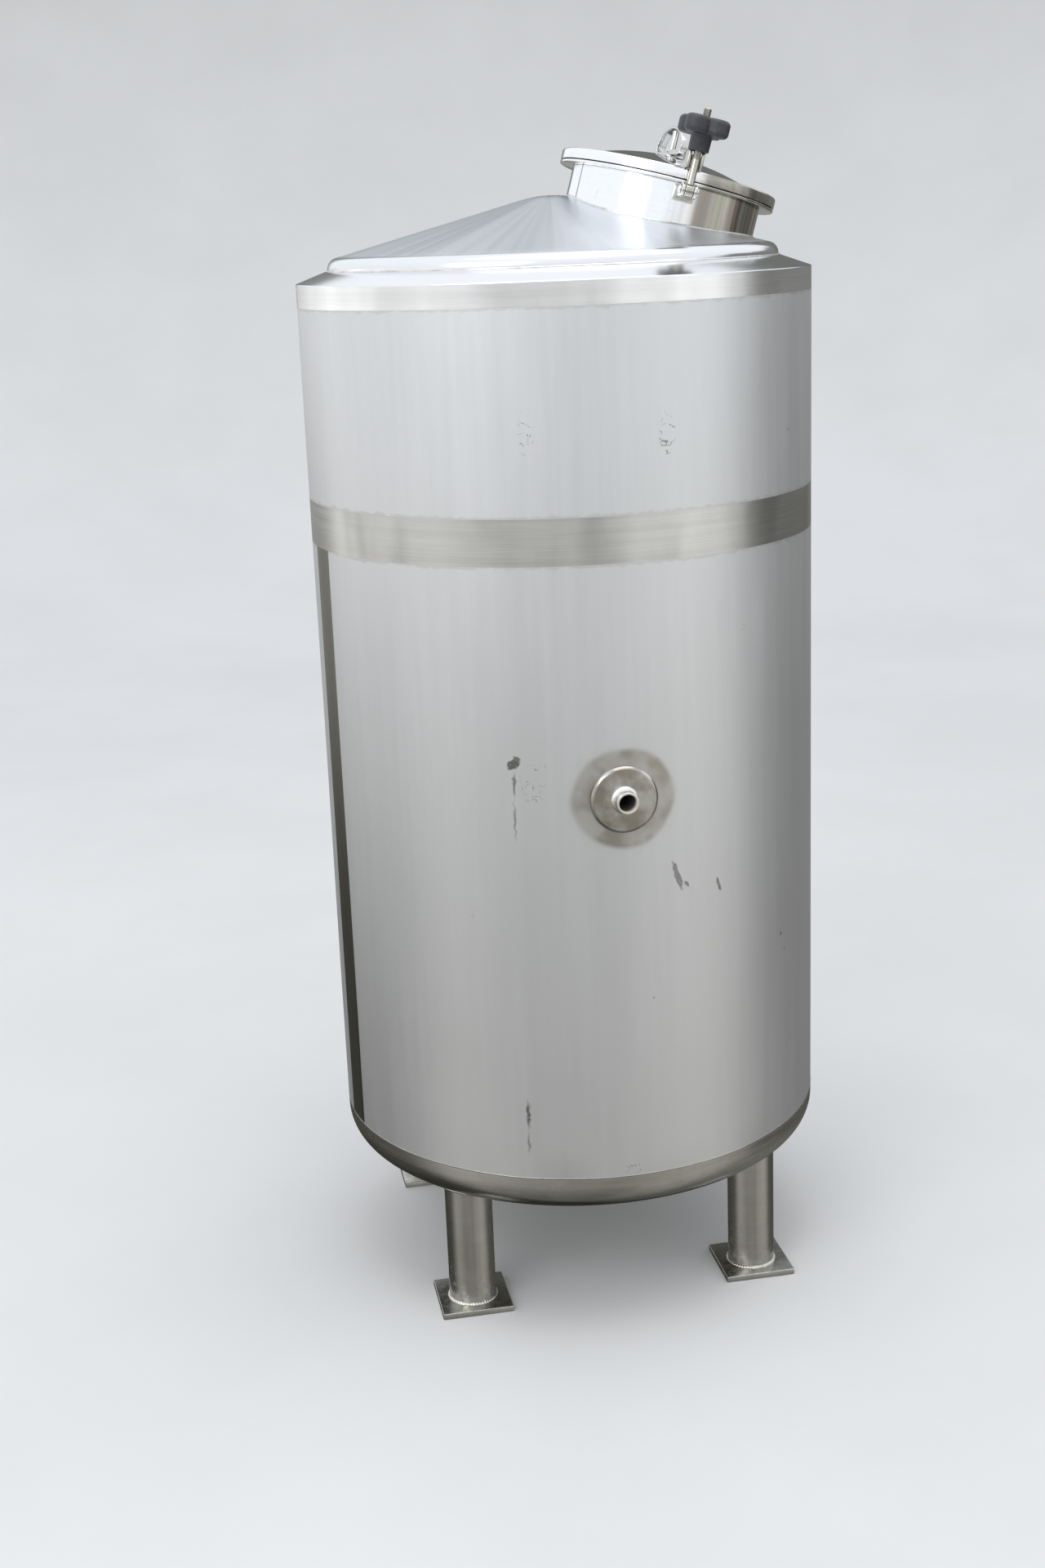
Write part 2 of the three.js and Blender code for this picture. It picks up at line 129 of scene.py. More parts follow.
STUD_TOP = 131.5
HINGE_R = 184
HINGE_Z = 50

SLOPE_TAN = math.tan(HEAD_SLOPE)
CONE_R = HEAD_FOOT_R - HEAD_KNUCKLE + HEAD_KNUCKLE * math.sin(HEAD_SLOPE)
CONE_Z = HEAD_FOOT_Z + HEAD_RISER + HEAD_KNUCKLE * math.cos(HEAD_SLOPE)
BLEND_Z = CONE_Z + (CONE_R - APEX_BLEND) * SLOPE_TAN
MANWAY_Z = CONE_Z + (CONE_R - MANWAY_X) * SLOPE_TAN
BOTTOM_CENTRE_R = SHELL_R - BOTTOM_KNUCKLE
BOTTOM_CENTRE_Z = SHELL_BOTTOM - BOTTOM_STRAIGHT
BOTTOM_EDGE_R = BOTTOM_CENTRE_R - BOTTOM_KNUCKLE * math.sin(BOTTOM_SLOPE)
BOTTOM_EDGE_Z = BOTTOM_CENTRE_Z - BOTTOM_KNUCKLE * math.cos(BOTTOM_SLOPE)

# Places of pieces in metres
TILT = Matrix.Rotation(MANWAY_TILT, 4, "Y")
TANK = Matrix.Translation((0, AXIS_Y * MM, 0))
MANWAY = TANK @ Matrix.Translation((MANWAY_X * MM, 0, MANWAY_Z * MM)) @ TILT
FITTINGS = MANWAY @ Matrix.Rotation(FITTINGS_TURN, 4, "Z")

# Places within the tank's frame in millimetres
PORT = Matrix.Translation((0, 0, PORT_Z)) @ Matrix.Rotation(QUARTER, 4, "X")
NECK_AXIS = Matrix.Translation((MANWAY_X, 0, MANWAY_Z)) @ TILT

# The photograph's camera
CAMERA_PLACE = (-0.6386, -3.1252, 1.691)
CAMERA_YAW = math.radians(10.10)
CAMERA_PITCH = math.radians(-15.58)
CAMERA_ROLL = math.radians(2.24)
CAMERA_FOCAL = 2433 / 1920         # focal length over the frame's height
SENSOR = 36

ROUND = 240                        # sides of the large rings


# Shape helpers

def rounded(points, steps=4, closed=True):
    """Rounds the corners of an outline. A point is (a, b) or (a, b, radius)."""
    out = []
    n = len(points)
    for i, p in enumerate(points):
        here = np.array(p[:2], float)
        if len(p) < 3 or (not closed and i in (0, n - 1)):
            out.append(tuple(here))
            continue
        before = np.array(points[i - 1][:2], float) - here
        after = np.array(points[(i + 1) % n][:2], float) - here
        la, lb = np.linalg.norm(before), np.linalg.norm(after)
        u, v = before / la, after / lb
        half = math.acos(float(np.clip(u @ v, -1, 1))) / 2
        reach = min(p[2] / math.tan(half), 0.49 * la, 0.49 * lb)
        radius = reach * math.tan(half)
        middle = (u + v) / np.linalg.norm(u + v)
        centre = here + middle * radius / math.sin(half)
        start, end = here + u * reach - centre, here + v * reach - centre
        a0 = math.atan2(start[1], start[0])
        turn = (math.atan2(end[1], end[0]) - a0 + math.pi) % TURN - math.pi
        out += arc(*centre, radius, a0, a0 + turn, steps)
    return out


def arc(centre_a, centre_b, radius, start, end, steps):
    """Points on an arc of an outline. Angles are in radians."""
    angles = np.linspace(start, end, steps + 1)
    return [(centre_a + radius * math.cos(a), centre_b + radius * math.sin(a)) for a in angles]


def divided(points, step):
    """Adds points on the long sides of a closed outline."""
    out = []
    for p, q in zip(points, points[1:] + points[:1]):
        parts = int(math.dist(p, q) // step) + 1
        for t in np.arange(parts) / parts:
            out.append((p[0] + (q[0] - p[0]) * t, p[1] + (q[1] - p[1]) * t))
    return out


def circle(count):
    """Even unit directions around Z."""
    angles = np.linspace(0, TURN, count, endpoint=False)
    return np.stack([np.cos(angles), np.sin(angles), angles * 0], 1)


def smooth_line(points, steps):
    """Even samples of a Catmull-Rom line through the points, and its directions."""
    p = np.array(points, float)
    p = np.vstack([p[:1], p, p[-1:]])
    places, ways = [], []
    for t in np.linspace(0, len(points) - 1, steps + 1):
        i = min(int(t), len(points) - 2)
        s = t - i
        a, b, c, d = p[i:i + 4]
        v0, v1 = (c - a) / 2, (d - b) / 2
        cubic = 2 * b - 2 * c + v0 + v1
        square = -3 * b + 3 * c - 2 * v0 - v1
        places.append(cubic * s**3 + square * s**2 + v0 * s + b)
        way = 3 * cubic * s**2 + 2 * square * s + v0
        ways.append(way / np.linalg.norm(way))
    return np.array(places), np.array(ways)


class Shape:
    """Vertices and faces of one piece, in millimetres."""

    def __init__(self):
        self.vertices = np.zeros((0, 3))
        self.faces = []

    def put(self, vertices, faces, matrix=None):
        vertices = np.asarray(vertices, float).reshape(-1, 3)
        if matrix is not None:
            m = np.array(matrix)
            vertices = vertices @ m[:3, :3].T + m[:3, 3]
        start = len(self.vertices)
        self.vertices = np.vstack([self.vertices, vertices])
        self.faces += [tuple(start + i for i in f) for f in faces]
        return self

    def grid(self, vertices, columns, closed, matrix=None, looped=True):
        """Joins rows of points, each looped on itself. Rows that don't close get a cap at both ends."""
        rows = len(vertices) // columns
        faces = []
        for i in range(rows if closed else rows - 1):
            j = (i + 1) % rows
            for k in range(columns if looped else columns - 1):
                n = (k + 1) % columns
                faces.append((i * columns + k, i * columns + n, j * columns + n, j * columns + k))
        if not closed:
            faces.append(tuple(reversed(range(columns))))
            faces.append(tuple(range((rows - 1) * columns, rows * columns)))
        return self.put(vertices, faces, matrix)

    def lathe(self, profile, sides=128, looped=True, start=0, end=TURN, matrix=None, warp=None):
        """Turns a profile of (radius, height) about Z. One that isn't looped runs from axis to axis."""
        whole = end - start > TURN - 1e-6
        angles = start + (end - start) * np.arange(sides if whole else sides + 1) / sides
        vertices = np.array([(r * math.cos(a), r * math.sin(a), z) for a in angles for r, z in profile])
        if warp:
            vertices = warp(vertices)
        return self.grid(vertices, len(profile), whole, matrix, looped)

    def wall(self, rings, rows):
        """A wall between an outer and an inner pair of rings, each its foot and its top."""
        shares = np.arange(rows + 1)[:, None, None] / rows
        outside, inside = (foot + (top - foot) * shares for foot, top in rings)
        vertices = np.concatenate([outside, inside[::-1]])
        return self.grid(vertices.reshape(-1, 3), vertices.shape[1], True)

    def sweep(self, places, sides, ups, section, closed=False):
        """Runs a section of (side, up) points along places."""
        vertices = [p + s * a + u * b for p, s, u in zip(places, sides, ups) for a, b in section]
        return self.grid(vertices, len(section), closed)

    def plate(self, outline, thickness, edge, matrix=None, steps=3):
        """An outline in the XY plane, thick from z = 0 up, with rounded edges."""
        p = np.array(outline, float)
        after = np.roll(p, -1, 0)
        u, v = np.roll(p, 1, 0) - p, after - p
        u /= np.linalg.norm(u, axis=1)[:, None]
        v /= np.linalg.norm(v, axis=1)[:, None]
        side = np.sign(np.sum(p[:, 0] * after[:, 1] - after[:, 0] * p[:, 1]))
        normals = np.stack([v[:, 1] - u[:, 1], u[:, 0] - v[:, 0]], 1) * side
        normals /= np.linalg.norm(normals, axis=1)[:, None]
        slant = np.abs(np.sum(normals * np.stack([v[:, 1], -v[:, 0]], 1), axis=1))
        grow = 1 / np.maximum(0.5, slant)
        turns = np.linspace(0, QUARTER, steps + 1)
        levels = [(edge * (1 - math.sin(a)), edge * (1 - math.cos(a))) for a in turns]
        levels += [(inset, thickness - z) for inset, z in reversed(levels)]
        vertices = []
        for inset, z in levels:
            vertices += [(x, y, z) for x, y in p - normals * (inset * grow)[:, None]]
        return self.grid(vertices, len(p), False, matrix)

    def block(self, low, high, edge=1):
        """A box with rounded edges."""
        (x0, y0, z0), (x1, y1, z1) = low, high
        outline = rounded([(x0, y0, edge), (x1, y0, edge), (x1, y1, edge), (x0, y1, edge)], 3)
        return self.plate(outline, z1 - z0, edge * 0.9, Matrix.Translation((0, 0, z0)))

    def bead(self, places, outs, radius, ripple=0.12, pitch=5, flat=0.6, matrix=None):
        """A weld bead along a closed line, with the small ripples of its pools."""
        after = np.roll(places, -1, 0)
        along = after - np.roll(places, 1, 0)
        along /= np.linalg.norm(along, axis=1)[:, None]
        sides = np.cross(along, outs)
        run = np.cumsum(np.linalg.norm(after - places, axis=1))
        swell = radius * (1 + ripple * np.sin(TURN * run / pitch) + 0.1 * np.sin(run / 23))
        vertices = []
        for p, s, o, r in zip(places, sides, outs, swell):
            vertices += [p + r * (s * x + o * flat * y) for x, y, _ in circle(8)]
        return self.grid(vertices, 8, True, matrix)


def plug(radius, low, high, sides, matrix=None):
    """A plain cylinder to cut with."""
    return Shape().lathe([(0, low), (radius, low), (radius, high), (0, high)], sides, False, matrix=matrix)


def linked(name, shape, sharp):
    """A new object of the scene from a Shape, shaded smooth apart from its sharp edges."""
    mesh = bpy.data.meshes.new(name)
    mesh.from_pydata((shape.vertices * MM).tolist(), [], shape.faces)
    work = bmesh.new()
    work.from_mesh(mesh)
    bmesh.ops.remove_doubles(work, verts=work.verts, dist=1e-7)
    bmesh.ops.recalc_face_normals(work, faces=work.faces)
    work.to_mesh(mesh)
    work.free()
    mesh.shade_smooth()
    mesh.set_sharp_from_angle(angle=math.radians(sharp))
    thing = bpy.data.objects.new(name, mesh)
    scene.collection.objects.link(thing)
    return thing


def cut(piece, cutter, sharp):
    """Cuts a Shape out of a piece, both in the same frame."""
    tool = linked("cutter", cutter, 30)
    modifier = piece.modifiers.new("cut", "BOOLEAN")
    modifier.operation = "DIFFERENCE"
    modifier.solver = "EXACT"
    modifier.object = tool
    bpy.context.view_layer.update()
    result = bpy.data.meshes.new_from_object(piece.evaluated_get(bpy.context.evaluated_depsgraph_get()))
    piece.modifiers.clear()
    old = piece.data
    piece.data = result
    bpy.data.meshes.remove(old)
    bpy.data.objects.remove(tool)
    result.shade_smooth()
    result.set_sharp_from_angle(angle=math.radians(sharp))


def make(name, shape, material, node=None, matrix=TANK, sharp=38, body="tank", cutter=None):
    """One piece of the scene from a Shape, riding on a body and standing for its node."""
    piece = linked(name, shape, sharp)
    if cutter:
        cut(piece, cutter, sharp)
    piece.matrix_world = matrix
    piece.data.materials.clear()
    piece.data.materials.append(material)
    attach(piece, body)
    if node:
        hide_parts(node)


# Materials

def linkable(value):
    return isinstance(value, bpy.types.NodeSocket)


class Graph:
    """The nodes of a material or of the world."""

    def __init__(self, tree):
        self.nodes, self.links = tree.nodes, tree.links

    def node(self, kind, inputs=None, out=0, **properties):
        """One output of a new node, whose inputs are numbers, colours or other outputs."""
        node = self.nodes.new("ShaderNode" + kind)
        for key, value in properties.items():
            setattr(node, key, value)
        for key, value in (inputs or {}).items():
            if linkable(value):
                self.links.new(value, node.inputs[key])
            else:
                node.inputs[key].default_value = value
        return node.outputs[out]

    def math(self, operation, a, b=0):
        return self.node("Math", {0: a, 1: b}, operation=operation)

    def times(self, a, b):
        return self.math("MULTIPLY", a, b)

    def weighed(self, a, share, b):
        """A share of a number, and the rest of another."""
        return self.math("ADD", self.times(a, share), self.times(b, 1 - share))

    def vector(self, operation, *values):
        out = "Value" if operation in ("LENGTH", "DOT_PRODUCT") else 0
        return self.node("VectorMath", dict(enumerate(values)), out, operation=operation)

    def combine(self, *values):
        return self.node("CombineXYZ", dict(enumerate(values)))

    def separate(self, vector):
        return self.node("SeparateXYZ", {0: vector}).node.outputs

    def noise(self, vector, scale, detail=3, roughness=0.55, distortion=0, out="Fac"):
        return self.node("TexNoise", {"Vector": vector, "Scale": scale, "Detail": detail,
                                      "Roughness": roughness, "Distortion": distortion}, out)

    def remap(self, value, low, high, to_low=0, to_high=1, kind="SMOOTHSTEP"):
        return self.node("MapRange", {"Value": value, "From Min": low, "From Max": high,
                                      "To Min": to_low, "To Max": to_high}, interpolation_type=kind)

    def blend(self, fac, a, b):
        """A colour between a and b."""
        a, b = (v if linkable(v) else (*v, 1) for v in (a, b))
        return self.node("Mix", {0: fac, 6: a, 7: b}, 2, data_type="RGBA")

    def mixed(self, fac, a, b):
        """A number between a and b."""
        return self.node("Mix", {0: fac, 2: a, 3: b}, data_type="FLOAT")


class Material(Graph):
    """A node material on the one metal or plastic shader."""

    def __init__(self, name, metallic=1, **constants):
        self.data = bpy.data.materials.new(name)
        self.data.use_nodes = True
        super().__init__(self.data.node_tree)
        self.shader = self.nodes["Principled BSDF"]
        self.shader.inputs["Metallic"].default_value = metallic
        for key, value in constants.items():
            self.shader.inputs[key].default_value = value
        self.place = self.node("TexCoord", out="Object")

    def grain(self, scale, detail=3, roughness=0.55):
        """A noise with so many features a metre along X, Y and Z."""
        if not isinstance(scale, tuple):
            scale = (scale,) * 3
        stretched = self.node("Mapping", {"Vector": self.place, "Scale": scale})
        return self.noise(stretched, 1, detail, roughness)

    def bump(self, height, distance, strength=1, normal=None):
        inputs = {"Height": height, "Distance": distance, "Strength": strength}
        if normal:
            inputs["Normal"] = normal
        return self.node("Bump", inputs)

    def surface(self, colour, roughness, normal=None):
        for key, value in (("Base Color", colour), ("Roughness", roughness), ("Normal", normal)):
            if linkable(value):
                self.links.new(value, self.shader.inputs[key])
            elif value is not None:
                self.shader.inputs[key].default_value = value
        return self.data

    def around(self):
        """Distance along the shell from the port's line, and height, in millimetres."""
        x, y, z = self.separate(self.place)
        angle = self.math("ARCTAN2", x, self.times(y, -1))
        return self.times(angle, SHELL_R), self.times(z, 1000)

    def shaken(self, vector, scale, detail, reach):
        """A vector moved about by a noise."""
        noise = self.noise(vector, scale, detail, 0.5, out="Color")
        offset = self.vector("SUBTRACT", noise, (0.5, 0.5, 0.5))
        return self.vector("MULTIPLY_ADD", offset, (reach, reach, 0), vector)

    def spot(self, flat, centre, size, tilt=0, soft=0.25):
        """One in an ellipse on the shell, falling to zero at its edge."""
        place = self.node("Mapping", {"Vector": flat, "Location": (*centre, 0), "Scale": (*size, 1),
                                      "Rotation": (0, 0, math.radians(tilt))}, vector_type="TEXTURE")
        return self.remap(self.vector("LENGTH", place), 1, 1 - soft)

    def spots(self, flat, marks):
        """The most of several spots, each (centre, half size, tilt, softness, strength)."""
        most = 0
        for centre, size, tilt, soft, strength in marks:
            one = self.times(self.spot(flat, centre, size, tilt, soft), strength)
            most = self.math("MAXIMUM", most, one)
        return most


# Marks on the sheets, placed by the distance along the shell from the port's line, and the height
SMEARS = (
    ((-162, 936), (12, 9), 20, 0.35, 1),
    ((-157, 944), (6, 5), 0, 0.4, 0.9),
    ((-162, 905), (3.2, 26), 0, 0.8, 0.9),
    ((-163, 850), (2.6, 44), 0, 0.9, 0.75),
    ((82, 750), (5.5, 29), 19, 0.35, 0.7),
    ((97, 734), (3.5, 8), 35, 0.4, 0.7),
    ((155, 723), (4, 13), 22, 0.4, 0.8),
    ((-160, 378), (5, 32), 0, 0.7, 1),
    ((-161, 330), (3.5, 26), 0, 0.8, 0.75),
    ((304, 602), (3, 4), 0, 0.5, 0.9),
    ((315, 575), (2.5, 4), 0, 0.5, 0.7),
    ((331, 1391), (5, 2), 10, 0.5, 0.6),
    ((40, 560), (2.5, 2.5), 0, 0.5, 0.5),
)
SCRATCHES = (
    ((-125, 1417), (15, 38), 0, 0.5, 0.9),
    ((78, 1404), (17, 42), 0, 0.5, 0.95),
    ((-134, 908), (24, 36), 0, 0.5, 0.9),
    ((-112, 935), (14, 5), 0, 0.5, 0.7),
    ((4, 283), (26, 9), 0, 0.5, 0.9),
    ((-230, 700), (18, 8), 0, 0.5, 0.35),
    ((210, 1100), (9, 22), 0, 0.5, 0.3),
)


def shell_material(name):
    """Mill-finished sheet with its ground zones, smears, scratches and splashes, and painted shade that
    darkens it towards the bottom.
    """
    m = Material(name, metallic=0.86)
    u, z = m.around()
    flat = m.combine(u, z)
    cloud = m.grain((2.2, 2.2, 1.5), 4, 0.5)
    streak = m.grain((60, 60, 2.5), 4, 0.6)
    grain = m.grain((900, 900, 260), 2, 0.5)
    tone = m.weighed(cloud, 0.6, streak)
    colour = m.blend(m.remap(tone, 0.35, 0.65), (0.72, 0.735, 0.75), (0.77, 0.78, 0.80))
    # Painted shade: the sheet's colour darkens towards the bottom, standing in for the dimmer light low on
    # the tank.
    lower = m.remap(z, 1400, 300)
    colour = m.blend(m.times(lower, 0.5), colour, (0.62, 0.625, 0.615))
    rough = m.remap(tone, 0.3, 0.7, 0.39, 0.44)

    # The ground zone around the port
    bent = m.shaken(flat, 0.014, 1, 11)
    spread = m.spot(bent, (0, PORT_Z), (83, 81), soft=0.13)
    fringe = m.spot(bent, (0, PORT_Z), (96, 93), soft=0.3)
    ring = m.vector("LENGTH", m.vector("SUBTRACT", flat, (0, PORT_Z, 0)))
    turned = m.noise(m.combine(m.times(ring, 0.55)), 1, 4, 0.7)
    patch = m.noise(flat, 0.022, 2, 0.5)
    mixed = m.weighed(turned, 0.12, patch)
    halo = m.blend(m.remap(mixed, 0.36, 0.64), (0.40, 0.38, 0.345), (0.55, 0.54, 0.51))
    colour = m.blend(m.times(fringe, 0.22), colour, (0.52, 0.51, 0.49))
    colour = m.blend(spread, colour, halo)
    rough = m.mixed(spread, rough, m.remap(mixed, 0.35, 0.65, 0.22, 0.34))

    # The ground zones along the bands
    ragged = m.times(m.math("SUBTRACT", m.noise(flat, 0.05, 3), 0.5), 16)
    height = m.math("ADD", z, ragged)
    ground = 0
    for low, high in (MID_BAND, (TOP_BAND_Z, RIM_Z)):
        half = (high - low) / 2
        away = m.math("ABSOLUTE", m.math("SUBTRACT", height, low + half))
        ground = m.math("MAXIMUM", ground, m.remap(away, half + 5, half + 1))
    colour = m.blend(m.times(ground, 0.6), colour, (0.60, 0.595, 0.575))

    # Smears and splashes
    speck = m.noise(flat, 0.32, 5, 0.7)
    dirt = m.times(m.spots(m.shaken(flat, 0.11, 4, 9), SMEARS), m.remap(speck, 0.32, 0.45))

    # Fine curly scratches, as the lines where a noise crosses its middle
    crossing = m.math("SUBTRACT", m.noise(flat, 0.045, 2, 0.6, 0.6), 0.5)
    line = m.remap(m.math("ABSOLUTE", crossing), 0.022, 0.006)
    broken = m.remap(m.noise(flat, 0.13, 2), 0.40, 0.52)
    scratch = m.times(m.times(m.spots(flat, SCRATCHES), line), broken)

    colour = m.blend(m.times(scratch, 0.7), colour, (0.16, 0.155, 0.14))
    colour = m.blend(m.times(dirt, 0.85), colour, (0.085, 0.08, 0.06))
    rough = m.mixed(dirt, rough, 0.75)
    normal = m.bump(cloud, 0.0006)
    normal = m.bump(streak, 0.00001, 1, normal)
    normal = m.bump(grain, 0.000006, 1, normal)
    normal = m.bump(scratch, 0.0002, 0.6, normal)
    return m.surface(colour, rough, normal)


def ground_material(name, dark, tone, lines, rough, depth, waves, wave, stain=None, **constants):
    """A ground finish: fine lines along the grain, over the slow unevenness that a hand grinder leaves."""
    m = Material(name, **constants)
    fine = m.grain(lines, 5, 0.65)
    broad = m.grain(tuple(scale * 0.12 for scale in lines), 2)
    slow = m.grain(waves, 2, 0.5)
    colour = m.blend(m.remap(m.weighed(fine, 0.55, broad), 0.32, 0.68), dark, tone)
    if stain:
        scale, detail, roughness, low, strength, tint = stain
        patch = m.grain(scale, detail, roughness)
        colour = m.blend(m.remap(patch, low, 0.66, 0, strength), colour, tint)
    normal = m.bump(fine, depth, 1, m.bump(slow, wave))
    return m.surface(colour, m.remap(fine, 0.3, 0.7, *rough), normal)


def head_material(name):
    """The polished cone: soft lines that run to its apex, clouded, with a brighter knuckle."""
    m = Material(name)
    x, y, _ = m.separate(m.place)
    level = m.combine(x, y)
    around = m.vector("NORMALIZE", level)
    out = m.vector("LENGTH", level)
    lift = m.combine(0, 0, out)
    fan = m.noise(m.vector("MULTIPLY_ADD", around, (26, 26, 26), lift), 1, 5, 0.6)
    wide = m.noise(m.vector("MULTIPLY_ADD", around, (2.2, 2.2, 2.2), lift), 1, 2)
    tone = m.weighed(fan, 0.5, wide)
    colour = m.blend(m.remap(tone, 0.34, 0.66), (0.73, 0.755, 0.79), (0.80, 0.825, 0.86))
    knuckle = m.remap(out, 0.325, 0.345)
    colour = m.blend(knuckle, colour, (0.82, 0.825, 0.835))
    rough = m.mixed(knuckle, m.remap(tone, 0.3, 0.7, 0.28, 0.34), 0.16)
    normal = m.bump(fan, 0.000015, 1, m.bump(wide, 0.0005))
    return m.surface(colour, rough, normal)


def painted_reflections(m, colour):
    """Painted reflections over the right front of the manway's neck and skirt: dark upright stripes of
    reflected surroundings, a pale painted highlight towards one side, and a painted reflection on the skirt.
    """
    x, y, _ = m.separate(m.place)
    angle = m.math("ARCTAN2", y, x)
    outside = m.vector("LENGTH", m.combine(x, y))
    side = m.times(m.remap(angle, -1.58, -1.44), m.remap(angle, 0.3, -0.2))
    side = m.times(side, m.remap(outside, 0.140, 0.146))
    drift = m.times(m.grain((6, 6, 13), 2), 0.9)
    across = m.combine(m.math("ADD", m.times(angle, 9), drift))
    fine = m.noise(across, 1, 3, 0.55)
    tint = m.noise(across, 0.7, 1, 0.5)
    # Painted highlight: the stripes and the skirt turn pale towards this side, as if lit.
    paler = m.remap(angle, -1.30, -0.60)
    # Painted reflection: dark upright stripes of reflected surroundings.
    streak = m.blend(m.remap(tint, 0.45, 0.6), (0.46, 0.38, 0.34), (0.43, 0.46, 0.39))
    pale = m.blend(paler, (0.50, 0.49, 0.47), (0.98, 0.96, 0.93))
    streak = m.blend(m.remap(fine, 0.44, 0.60), streak, pale)
    streak = m.blend(m.remap(angle, -1.20, -1.36, 0, 0.75), streak, (0.28, 0.27, 0.25))
    # Painted reflection on the skirt, pale towards the same side.
    skirt = m.blend(paler, (0.34, 0.335, 0.305), (0.75, 0.74, 0.70))
    streak = m.blend(m.remap(outside, 0.155, 0.160, 0, 0.75), streak, skirt)
    return m.blend(side, colour, streak)


def polished_material(name, tone, rough, wave, waves, with_painted_reflections=False):
    """Polished steel with a slight wave, faint wipe marks and a little dust, and painted reflections when
    asked.
    """
    m = Material(name)
    wipe = m.grain((40, 40, 260), 4, 0.6)
    dusty = m.remap(m.grain(70, 5, 0.7), 0.56, 0.75)
    colour = m.blend(m.remap(wipe, 0.3, 0.7, 0, 0.18), tone, tuple(t * 0.86 for t in tone))
    colour = m.blend(m.times(dusty, 0.14), colour, (0.45, 0.44, 0.42))
    # Painted reflections on the neck and skirt.
    if with_painted_reflections:
        colour = painted_reflections(m, colour)
    roughness = m.math("ADD", m.remap(wipe, 0.3, 0.7, *rough), m.times(dusty, 0.12))
    normal = m.bump(wipe, 0.000004, 1, m.bump(m.grain(waves, 2, 0.4), wave))
    return m.surface(colour, roughness, normal)


def turned_material(name, axis, dark, tone, lined=False):
    """Machined steel with faint rings about an axis. A lined one has a dull bore with painted light, pale
    cream near its lip, falling to painted shade deeper in.
    """
    m = Material(name)
    x, y, z = m.separate(m.place)
    level = m.combine(x, m.math("SUBTRACT", z, PORT_Z * MM) if axis == "Y" else y)
    out = m.vector("LENGTH", level)
    rings = m.noise(m.combine(out), 700, 3, 0.5)
    cloud = m.grain(22, 3, 0.5)
    mixed = m.weighed(rings, 0.1, cloud)
    colour = m.blend(m.remap(mixed, 0.38, 0.62), dark, tone)
    if lined:
        metal = m.remap(out, (PORT_BORE_R + 0.3) * MM, (PORT_BORE_R + 0.8) * MM, 0.15, 1)
        m.links.new(metal, m.shader.inputs["Metallic"])
        # Painted light and shade in the bore: pale cream at the lip, nearly black deeper in.
        painted_depth_shade = m.remap(y, -(PORT_END - 3) * MM, -(PORT_END - 15) * MM)
        bore = m.blend(painted_depth_shade, (0.86, 0.78, 0.60), (0.03, 0.027, 0.02))
        colour = m.blend(metal, bore, colour)
    normal = m.bump(rings, 0.000004, 1, m.bump(cloud, 0.0005))
    return m.surface(colour, m.remap(mixed, 0.35, 0.65, 0.16, 0.26), normal)


def leg_material(name, soil_share, drop_share):
    """Satin pipe with soft stains and runs, and splashes of soil near the ground."""
    m = Material(name)
    z = m.separate(m.place)[2]
    cloud = m.grain((14, 14, 9), 3, 0.5)
    tone = m.weighed(m.grain((42, 42, 2), 3, 0.5), 0.8, m.grain((9, 9, 120), 3, 0.5))
    colour = m.blend(m.remap(tone, 0.36, 0.64), (0.46, 0.455, 0.425), (0.52, 0.515, 0.485))
    colour = m.blend(m.remap(cloud, 0.46, 0.7, 0, 0.3), colour, (0.34, 0.33, 0.30))
    drop = m.node("TexVoronoi", {"Vector": m.place, "Scale": 95}, "Distance")
    few = m.remap(m.grain(21, 2), 0.50, 0.60)
    dots = m.times(m.remap(drop, 0.16, 0.07), few)
    colour = m.blend(m.times(dots, drop_share), colour, (0.62, 0.61, 0.56))
    near = m.remap(z, 0.11, 0, 0, soil_share)
    soiled = m.times(m.remap(m.grain((110, 110, 90), 4, 0.65), 0.46, 0.68), near)
    colour = m.blend(soiled, colour, (0.23, 0.205, 0.165))
    rough = m.mixed(soiled, m.remap(tone, 0.3, 0.7, 0.24, 0.29), 0.85)
    normal = m.bump(soiled, 0.0002, 0.5, m.bump(cloud, 0.0005))
    return m.surface(colour, rough, normal)


def weld_material(name, tone, tint):
    """A bead of weld: bright, a little rough, with straw-coloured patches."""
    m = Material(name)
    fine = m.grain(700, 3, 0.6)
    colour = m.blend(m.remap(m.grain(45, 4, 0.6), 0.45, 0.68, 0, 0.7), tone, tint)
    return m.surface(colour, m.remap(fine, 0.3, 0.7, 0.22, 0.42), m.bump(fine, 0.00008))


def knob_material(name):
    """Satin moulded plastic with a fine grain, rubbed a little paler, with some dust."""
    m = Material(name, metallic=0, IOR=1.5)
    cloud = m.grain(38, 4, 0.65)
    colour = m.blend(m.remap(cloud, 0.35, 0.7), (0.030, 0.032, 0.038), (0.050, 0.053, 0.062))
    colour = m.blend(m.remap(m.grain(120, 5, 0.7), 0.52, 0.75, 0, 0.35), colour, (0.14, 0.14, 0.14))
    normal = m.bump(m.grain(900, 2, 0.6), 0.00006, 1, m.bump(cloud, 0.0003))
    return m.surface(colour, m.remap(cloud, 0.3, 0.7, 0.42, 0.58), normal)


def rubber_material(name):
    m = Material(name, metallic=0)
    cloud = m.grain(60, 4, 0.65)
    colour = m.blend(m.remap(cloud, 0.35, 0.7), (0.018, 0.018, 0.018), (0.05, 0.048, 0.045))
    return m.surface(colour, m.remap(cloud, 0.3, 0.7, 0.65, 0.85), m.bump(cloud, 0.0002))


def floor_material(name):
    m = Material(name, metallic=0)
    cloud = m.grain(1.2, 5, 0.6)
    return m.surface(m.blend(m.remap(cloud, 0.3, 0.7), (0.63, 0.63, 0.625), (0.66, 0.66, 0.655)), 0.75)


